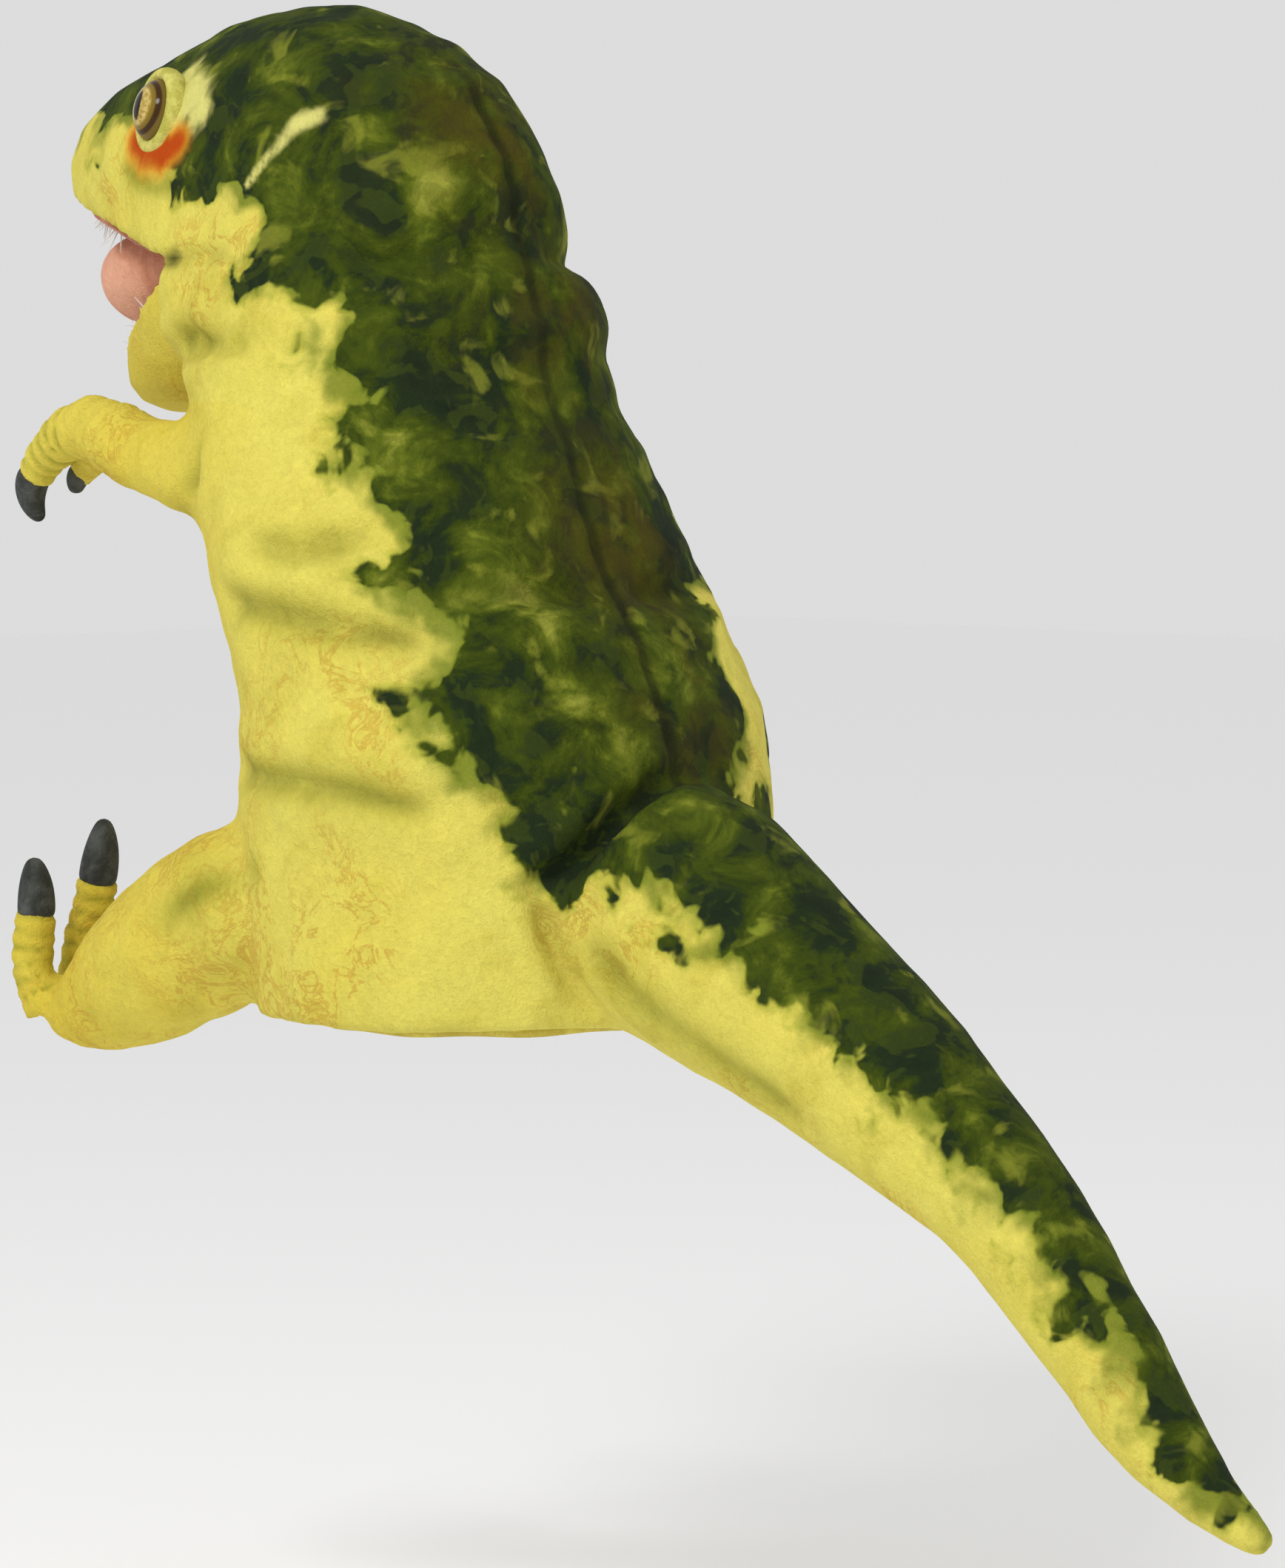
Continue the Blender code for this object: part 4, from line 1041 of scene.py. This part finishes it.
def board_material():
    material, work, shader = new_material("mouth_board")
    place = work.add("ShaderNodeTexCoord").outputs["Object"]
    fibre = work.noise(place, 300, 4, 0.7, 0.3)
    colour = work.ramp(fibre, ((0.35, (0.42, 0.33, 0.21)), (0.65, (0.60, 0.50, 0.36))))
    bump = work.add("ShaderNodeBump", Height=fibre, Distance=0.0002, Strength=0.4)
    surface(work, shader, colour, work.math("MULTIPLY_ADD", fibre, 0.2, 0.7), bump.outputs[0])
    return material


def washer_material():
    material, work, shader = new_material("washer_nylon")
    place = work.add("ShaderNodeTexCoord").outputs["Object"]
    grain = work.noise(place, 500, 2, 0.5)
    colour = work.mix(grain, (0.70, 0.70, 0.67, 1), (0.84, 0.84, 0.82, 1))
    surface(work, shader, colour, work.math("MULTIPLY_ADD", grain, 0.15, 0.35))
    return material


BOARD, WASHER = board_material(), washer_material()

# %% [markdown]
# ## Putting a piece on the puppet
# Each piece gets its material. It rides on the body that it follows, or stays in place where it lies
# between two, and the CAD nodes that it stands for are hidden.

# %% Place a piece and hide its CAD nodes
def place_piece(obj, material, body, nodes=()):
    obj.data.materials.clear()
    obj.data.materials.append(material)
    if isinstance(body, str):
        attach(obj, body)
    else:
        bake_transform(obj)
    if nodes:
        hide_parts(*nodes)
    return obj


NECK_BEND = ("torso", "head", (0, -0.048, 0.192), (0, -0.048, 0.238))
place_piece(
    plush["body"], AIRBRUSHED_AND_SHADED, NECK_BEND,
    ("body_panel_left", "body_panel_right", "body_stuffing_left", "body_stuffing_right",
     "head_panel_left", "head_panel_right", "head_stuffing"),
)
place_piece(
    plush["jaw"], AIRBRUSHED_AND_SHADED, ("head", "jaw", JAW_BEND_START, JAW_BEND_END),
    ("jaw_skin", "jaw_stuffing"),
)
for upper, lower, cut, end in zip(TAIL_BODIES, TAIL_BODIES[1:], TAIL_CUTS, TAIL_ENDS):
    nodes = (lower, f"{lower}_stuffing")
    place_piece(plush[lower], AIRBRUSHED_AND_SHADED, (upper, lower, cut, end), nodes)
for _, word in SIDES:
    place_piece(
        plush[f"{word}_arm"], AIRBRUSHED_AND_SHADED,
        ("torso", f"{word}_arm", (0, ARM_CUT, 0.18), (0, ARM_END, 0.18)),
        (f"{word}_arm", f"{word}_arm_stuffing", f"{word}_finger"),
    )
    place_piece(
        plush[f"{word}_leg"], AIRBRUSHED_AND_SHADED,
        ("torso", f"{word}_leg", (0, LEG_CUT, 0.02), (0, LEG_END, 0.02)),
        (f"{word}_leg", f"{word}_leg_stuffing", f"{word}_outer_toe", f"{word}_inner_toe"),
    )
print("plush pieces placed:", len(plush))

# %% [markdown]
# ## Claws, tongue and mouth
# The claws are blunt grey fabric tips. The fat tongue fills the mouth. The pink linings lie on the two
# boards that the fingers and the thumb move.

# %% Claws
def soft_tube(name, line, side, points=14):
    bm = bmesh.new()
    add_loft(bm, tube_rings(line, side, points))
    return smooth(subdivide(mesh_object(name, bm), 2))


CLAWS = (
    ("arm_claw", ARM_CLAW_LINE, "arm"), ("finger_claw", FINGER_CLAW_LINE, "arm"),
    ("outer_toe_claw", OUTER_CLAW_LINE, "leg"), ("inner_toe_claw", INNER_CLAW_LINE, "leg"),
)
for side, word in SIDES:
    for label, line, limb in CLAWS:
        claw = soft_tube(f"{word}_{label}_felt", line, side)
        place_piece(claw, CLAW_GREY, f"{word}_{limb}", (f"{word}_{label}",))
print("claws:", 2 * len(CLAWS))

# %% Tongue
TONGUE_RINGS = metres(  # distance in front of the hinge, half width, half height
    (4, 12, 6), (15, 20, 10.5), (28, 22.5, 14.5), (42, 23.5, 17.2), (54, 22.5, 17.2), (62, 19, 14.8),
    (68, 12.5, 10), (71, 5, 4.2),
)
TONGUE_TILT = Matrix.Rotation(-(UPPER_LIP + LOWER_LIP) / 2, 4, "X")
GROOVE_DEPTH = 0.0022


def build_tongue():
    """A fat pad with a shallow groove along its top."""
    turn = Matrix.Translation(MOUTH_HINGE + Vector((0, -0.002, 0.003))) @ TONGUE_TILT
    rings = []
    for along, half_width, half_height in TONGUE_RINGS:
        ring = []
        for k in range(20):
            t = math.tau * k / 20
            groove = GROOVE_DEPTH * math.exp(-((math.cos(t) / 0.35) ** 2)) * (math.sin(t) > 0)
            up = half_height * math.sin(t) - groove * min(1, half_width / 0.02)
            ring.append(turn @ Vector((half_width * math.cos(t), -along, up)))
        rings.append(ring)
    bm = bmesh.new()
    add_loft(bm, rings)
    obj = subdivide(mesh_object("tongue_plush", bm), 2)
    add_lumps(obj, 60, 0.0006)
    return smooth(obj)


tongue = place_piece(build_tongue(), TONGUE_PINK, "tongue", ("tongue",))
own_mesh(tongue)

# %% Copies of CAD solids, rounded
def soft_copy(node, name, levels=1, shift=(0, 0, 0), trim=1.0):
    """A smooth copy of a CAD solid, with its points merged and its width and height trimmed."""
    bm = bmesh.new()
    bm.from_mesh(frame["nodes"][node].data)
    bmesh.ops.remove_doubles(bm, verts=bm.verts, dist=1e-6)
    bmesh.ops.join_triangles(bm, faces=bm.faces, angle_face_threshold=0.6, angle_shape_threshold=0.8)
    middle = sum((vert.co for vert in bm.verts), Vector()) / len(bm.verts)
    bmesh.ops.scale(bm, verts=bm.verts, vec=(trim, 1, trim), space=Matrix.Translation(-middle))
    bmesh.ops.translate(bm, verts=bm.verts, vec=shift)
    return smooth(subdivide(mesh_object(name, bm), levels))


UPPER_DOWN = Vector((0, -math.sin(UPPER_LIP), -math.cos(UPPER_LIP)))
LOWER_UP = Vector((0, math.sin(LOWER_LIP), math.cos(LOWER_LIP)))
STAY = (0, 0, 0)
for node, name, body, shift, trim, material, slot in (
    ("upper_palate", "upper_mouth_lining", "head", UPPER_DOWN * 0.0068, 1.0, MOUTH_PINK, "mouth_pink"),
    ("lower_palate", "lower_mouth_lining", "jaw", LOWER_UP * 0.0058, 1.0, MOUTH_PINK, "mouth_pink"),
    ("finger_pocket", "finger_pocket_lining", "head", STAY, 1.0, LINING, "lining_cream"),
    ("thumb_pocket", "thumb_pocket_lining", "jaw", STAY, 0.88, LINING, "lining_cream"),
):
    place_piece(soft_copy(node, name, 1, shift, trim), material, body, (node,))
fold = soft_copy("mouth_fold", "mouth_corner_fold", 2)
bend = Vector((0, 0, 0.006))
across_hinge = ("head", "jaw", MOUTH_HINGE + bend, MOUTH_HINGE - bend)
place_piece(fold, MOUTH_PINK, across_hinge, ("mouth_fold",))
for node in ("upper_mouth_board", "lower_mouth_board", "left_eye_washer", "right_eye_washer"):
    solid = frame["nodes"][node]
    solid.data.materials.clear()
    solid.data.materials.append(BOARD if "board" in node else WASHER)
print("mouth pieces placed")

# %% [markdown]
# ## Bristles
# A few stiff white hairs stand out of the front of each lip. Each one is a thin spike, made as a cone and
# leant outwards.

# %% Bristles on both lips
SPIKE = {"segments": 5, "radius1": 0.00034, "radius2": 0.00010, "cap_ends": True, "cap_tris": True}


def bristles(name, places, length, lean):
    """Three spikes at each place, which lean outwards and differ a little."""
    bm = bmesh.new()
    rng = np.random.default_rng(7)
    for place in places:
        for _ in range(3):
            tall = length * rng.uniform(0.6, 1.1)
            made = bmesh.ops.create_cone(bm, depth=tall, **SPIKE)["verts"]
            bmesh.ops.translate(bm, verts=made, vec=(0, 0, tall / 2))
            aim = (Vector(lean) + Vector(rng.uniform(-0.45, 0.45, 3))).normalized()
            turn = Vector((0, 0, 1)).rotation_difference(aim).to_matrix()
            bmesh.ops.rotate(bm, verts=made, cent=(0, 0, 0), matrix=turn)
            root = Vector(place) + Vector(rng.uniform(-0.0025, 0.0025, 3)) - aim * 0.002
            bmesh.ops.translate(bm, verts=made, vec=root)
    return mesh_object(name, bm)


def lip_roots(width, middle, reach, height, slope, spread):
    """Thirteen places round the front edge of a lip."""
    angles = np.linspace(-spread, spread, 13)
    return [
        (width * math.sin(a), middle - reach * math.cos(a), height + slope * math.cos(a)) for a in angles
    ]


UPPER_ROOTS = lip_roots(0.030, -0.130, 0.056, 0.2495, 0.0145, 1.05)
LOWER_ROOTS = lip_roots(0.024, -0.138, 0.029, 0.2330, -0.0150, 1.35)
upper = bristles("upper_bristles", UPPER_ROOTS, 0.0105, (0, -0.75, -0.75))
lower = bristles("lower_bristles", LOWER_ROOTS, 0.0125, (0, -0.9, 0.30))
place_piece(upper, BRISTLE, "head", ("upper_tooth_fringe",))
place_piece(lower, BRISTLE, "jaw", ("lower_tooth_fringe",))

# %% [markdown]
# ## Eyes
# Each eye is a domed glass-like button with a bronze iris and a dark upright slit, set in a soft rim. The
# pattern is kept on an attribute that measures across the dome, so both eyes carry their own copy.

# %% Eye domes and lids
EYE_AXIS = Vector((0.93, -0.28, 0.24)).normalized()
EYE_RADIUS, EYE_RISE = 0.0100, 0.0078
IRIS_BRONZE = ((0.3, (0.20, 0.12, 0.015)), (0.5, (0.46, 0.33, 0.08)), (0.7, (0.66, 0.55, 0.24)))
EYE_RINGS = (  # where a ring starts and is full, in millimetres from the middle, and its colour
    (5.8, 7.2, (0.20, 0.13, 0.015, 1)), (7.6, 8.3, (0.045, 0.020, 0.005, 1)),
    (9.0, 9.5, (0.16, 0.105, 0.015, 1)),
)
SLIT_BLACK = (0.012, 0.006, 0.003, 1)
LID_ROLL = 0.0027


def eye_frame(side):
    """Axes across, up and out of one eye, and its centre."""
    outward = Vector((EYE_AXIS.x * side, EYE_AXIS.y, EYE_AXIS.z))
    across = Vector((0, 0, 1)).cross(outward).normalized()
    upward = outward.cross(across).normalized()
    centre = Vector((EYE.x * side, EYE.y, EYE.z))
    return Matrix((across, upward, outward)).transposed().to_4x4(), centre


def eye_dome(side, word):
    turn, centre = eye_frame(side)
    bm = bmesh.new()
    bmesh.ops.create_uvsphere(bm, u_segments=48, v_segments=32, radius=1.0)
    bmesh.ops.scale(bm, verts=bm.verts, vec=(EYE_RADIUS, EYE_RADIUS * 1.06, EYE_RISE))
    back = [vert for vert in bm.verts if vert.co.z < 0]
    bmesh.ops.scale(bm, verts=back, vec=(1, 1, 0.45))
    rest = [vert.co.copy() for vert in bm.verts]
    bmesh.ops.transform(bm, matrix=Matrix.Translation(centre) @ turn, verts=bm.verts)
    obj = mesh_object(f"{word}_eye_dome", bm)
    store(obj, "across", np.array(rest))
    return smooth(obj)


def eye_material():
    material, work, shader = new_material("eye_amber", coat=0.15, ior=1.4, specular=0.1)
    shader.inputs["Coat Roughness"].default_value = 0.03
    place = attribute_of(work, "across").outputs["Vector"]
    axes = work.add("ShaderNodeSeparateXYZ", Vector=place).outputs
    x = work.math("MULTIPLY", axes[0], 1000)
    y = work.math("MULTIPLY", axes[1], 1000)
    radius = work.math("SQRT", work.math("ADD", work.math("POWER", x, 2), work.math("POWER", y, 2)))
    spokes = work.add("ShaderNodeVectorMath", {"operation": "NORMALIZE"}, Vector=place)
    streaks = work.noise(spokes.outputs[0], 9, 3, 0.6, 0.3)
    blotch = work.noise(place, 500, 2, 0.6, 0.5)
    tone = work.math("MULTIPLY_ADD", streaks, 0.6, work.math("MULTIPLY", blotch, 0.4))
    colour = work.ramp(tone, IRIS_BRONZE)
    for inner, outer, ring in EYE_RINGS:
        colour = work.mix(work.step(radius, inner, outer), colour, ring)
    slit = [work.math("POWER", work.math("DIVIDE", axis, half), 2) for axis, half in ((x, 2.3), (y, 4.8))]
    slit = work.math("SUBTRACT", 1.0, work.step(work.math("ADD", *slit), 0.80, 1.35))
    colour = work.mix(slit, colour, SLIT_BLACK)
    surface(work, shader, colour, work.math("MULTIPLY_ADD", blotch, 0.1, 0.12))
    return material


def eye_lid(side, word):
    """A soft plush roll round the eye, thicker above and behind it."""
    turn, centre = eye_frame(side)
    bm = bmesh.new()
    made = bmesh.ops.create_circle(bm, segments=10, radius=LID_ROLL)["verts"]
    bmesh.ops.rotate(bm, verts=made, cent=(0, 0, 0), matrix=Matrix.Rotation(math.pi / 2, 3, "X"))
    bmesh.ops.translate(bm, verts=made, vec=(EYE_RADIUS + 0.0016, 0, 0))
    geom = made + list(bm.edges)
    bmesh.ops.spin(bm, geom=geom, cent=(0, 0, 0), axis=(0, 0, 1), angle=math.tau, steps=40, use_merge=True)
    bmesh.ops.remove_doubles(bm, verts=bm.verts, dist=1e-6)
    bmesh.ops.recalc_face_normals(bm, faces=bm.faces)
    for vert in bm.verts:
        raised = 0.5 + 0.5 * vert.co.normalized().dot(Vector((0, 1, 0)))
        vert.co.z = vert.co.z * (1 + 0.5 * raised) - 0.0008
        vert.co.y *= 1.05
    bmesh.ops.transform(bm, matrix=Matrix.Translation(centre) @ turn, verts=bm.verts)
    return smooth(subdivide(mesh_object(f"{word}_eye_lid", bm), 1))


GLASS_EYE = eye_material()
for side, word in SIDES:
    place_piece(eye_dome(side, word), GLASS_EYE, "head", (f"{word}_eye",))
    place_piece(eye_lid(side, word), LID_PLUSH, "head", (f"{word}_eyelid",))
print("eyes placed")

# %% [markdown]
# ## Hem and lining
# The hem is a rolled edge round the hand opening. The lining is a thin cream sleeve inside it, closed at
# the top like a sock, which bends with the neck.

# %% Hem roll and lining sleeve
HEM_HALF_WIDTH, HEM_HALF_DEPTH, HEM_HEIGHT, HEM_ROLL = 0.0602, 0.0522, 0.0030, 0.0026
WALL = 0.0010


def hem_roll():
    bm = bmesh.new()
    loops = []
    for t in np.arange(64) * math.tau / 64:
        out = Vector((math.sin(t), -math.cos(t), 0))
        height = HEM_HEIGHT + 0.0004 * math.sin(9 * t)
        centre = Vector((HEM_HALF_WIDTH * math.sin(t), -HEM_HALF_DEPTH * math.cos(t), height))
        turns = np.linspace(0, math.tau, 10, endpoint=False)
        points = [centre + HEM_ROLL * (math.cos(k) * out + Vector((0, 0, math.sin(k)))) for k in turns]
        loops.append(add_ring(bm, points))
    for low, high in zip(loops, loops[1:] + loops[:1]):
        bmesh.ops.bridge_loops(bm, edges=low + high)
    bmesh.ops.recalc_face_normals(bm, faces=bm.faces)
    return smooth(subdivide(mesh_object("hem_roll", bm), 1))


def lining_sleeve():
    obj = level_volume("hand_sleeve", HAND_RINGS[1:], inset=0.0022)
    bm = bmesh.new()
    bm.from_mesh(obj.data)
    low = min(vert.co.z for vert in bm.verts)
    mouth = [face for face in bm.faces if all(vert.co.z < low + 1e-5 for vert in face.verts)]
    bmesh.ops.delete(bm, geom=mouth, context="FACES_ONLY")
    bm.to_mesh(obj.data)
    bm.free()
    subdivide(obj, 2)
    points, normals = points_of(obj), normals_of(obj)
    ripples = np.array([noise.noise(Vector((p[0] * 45, p[1] * 45, p[2] * 12))) for p in points])
    set_points(obj, points - normals * (0.0010 + 0.0010 * ripples)[:, None])
    return smooth(modified(obj, "SOLIDIFY", thickness=WALL, offset=-1))


place_piece(hem_roll(), HEM_PLUSH, "torso", ("hem_band",))
place_piece(lining_sleeve(), LINING, NECK_BEND, ("hand_lining",))

# %% [markdown]
# ## Floor, light and camera
# A pale floor, a bright even surround, a key lamp that draws the folds and a large weak fill. The floor
# lies a hand's width below the tail's tip, so that the lowered tail doesn't reach it. The camera looks at
# the puppet's left side from behind, slightly above.

# %% Stage
def soft_pale(name, tone):
    material = bpy.data.materials.new(name)
    material.use_nodes = True
    shader = material.node_tree.nodes["Principled BSDF"]
    shader.inputs["Base Color"].default_value = (tone, tone, tone, 1)
    shader.inputs["Roughness"].default_value = 0.9
    return material


FLOOR_DROP = 0.09
floor_bm = bmesh.new()
bmesh.ops.create_grid(floor_bm, x_segments=1, y_segments=1, size=6)
bmesh.ops.translate(floor_bm, verts=floor_bm.verts, vec=(0, 0, cad_box[0].z - FLOOR_DROP))
floor = mesh_object("floor", floor_bm)
floor.data.materials.append(soft_pale("pale_floor", 0.98))

scene = bpy.context.scene
world = bpy.data.worlds.new("soft_surround")
world.use_nodes = True
background = world.node_tree.nodes["Background"].inputs
background["Color"].default_value = (1.0, 1.0, 1.0, 1)
background["Strength"].default_value = 0.72
scene.world = world
scene.view_settings.view_transform = "Standard"

AZIMUTH, ELEVATION, DISTANCE = math.radians(135), math.radians(4), 2.0
level = math.cos(ELEVATION)
behind = Vector((math.sin(AZIMUTH) * level, -math.cos(AZIMUTH) * level, math.sin(ELEVATION)))
rightward = Vector((math.cos(AZIMUTH), math.sin(AZIMUTH), 0))
upward = behind.cross(rightward)


def lamp(name, place, size, power, aim=Vector((0, 0.02, 0.12))):
    data = bpy.data.lights.new(name, "AREA")
    data.shape = "DISK"
    data.size = size
    data.energy = power
    obj = bpy.data.objects.new(name, data)
    obj.location = place
    obj.rotation_euler = (aim - Vector(place)).to_track_quat("-Z", "Y").to_euler()
    scene.collection.objects.link(obj)


lamp("key", behind * 1.3 - rightward * 0.8 + Vector((0, 0, 1.3)), 0.55, 17)
lamp("fill", behind * 1.5 + rightward * 0.9 + Vector((0, 0, 0.5)), 1.2, 2.5)

camera_data = bpy.data.cameras.new("camera")
camera_data.sensor_width = 36
camera_data.lens = 141.6
camera_data.clip_end = 50
camera = bpy.data.objects.new("camera", camera_data)
camera.location = rightward * 0.0456 + upward * 0.07656 + behind * DISTANCE
camera.rotation_euler = Matrix((rightward, upward, behind)).transposed().to_euler()
scene.collection.objects.link(camera)
scene.camera = camera
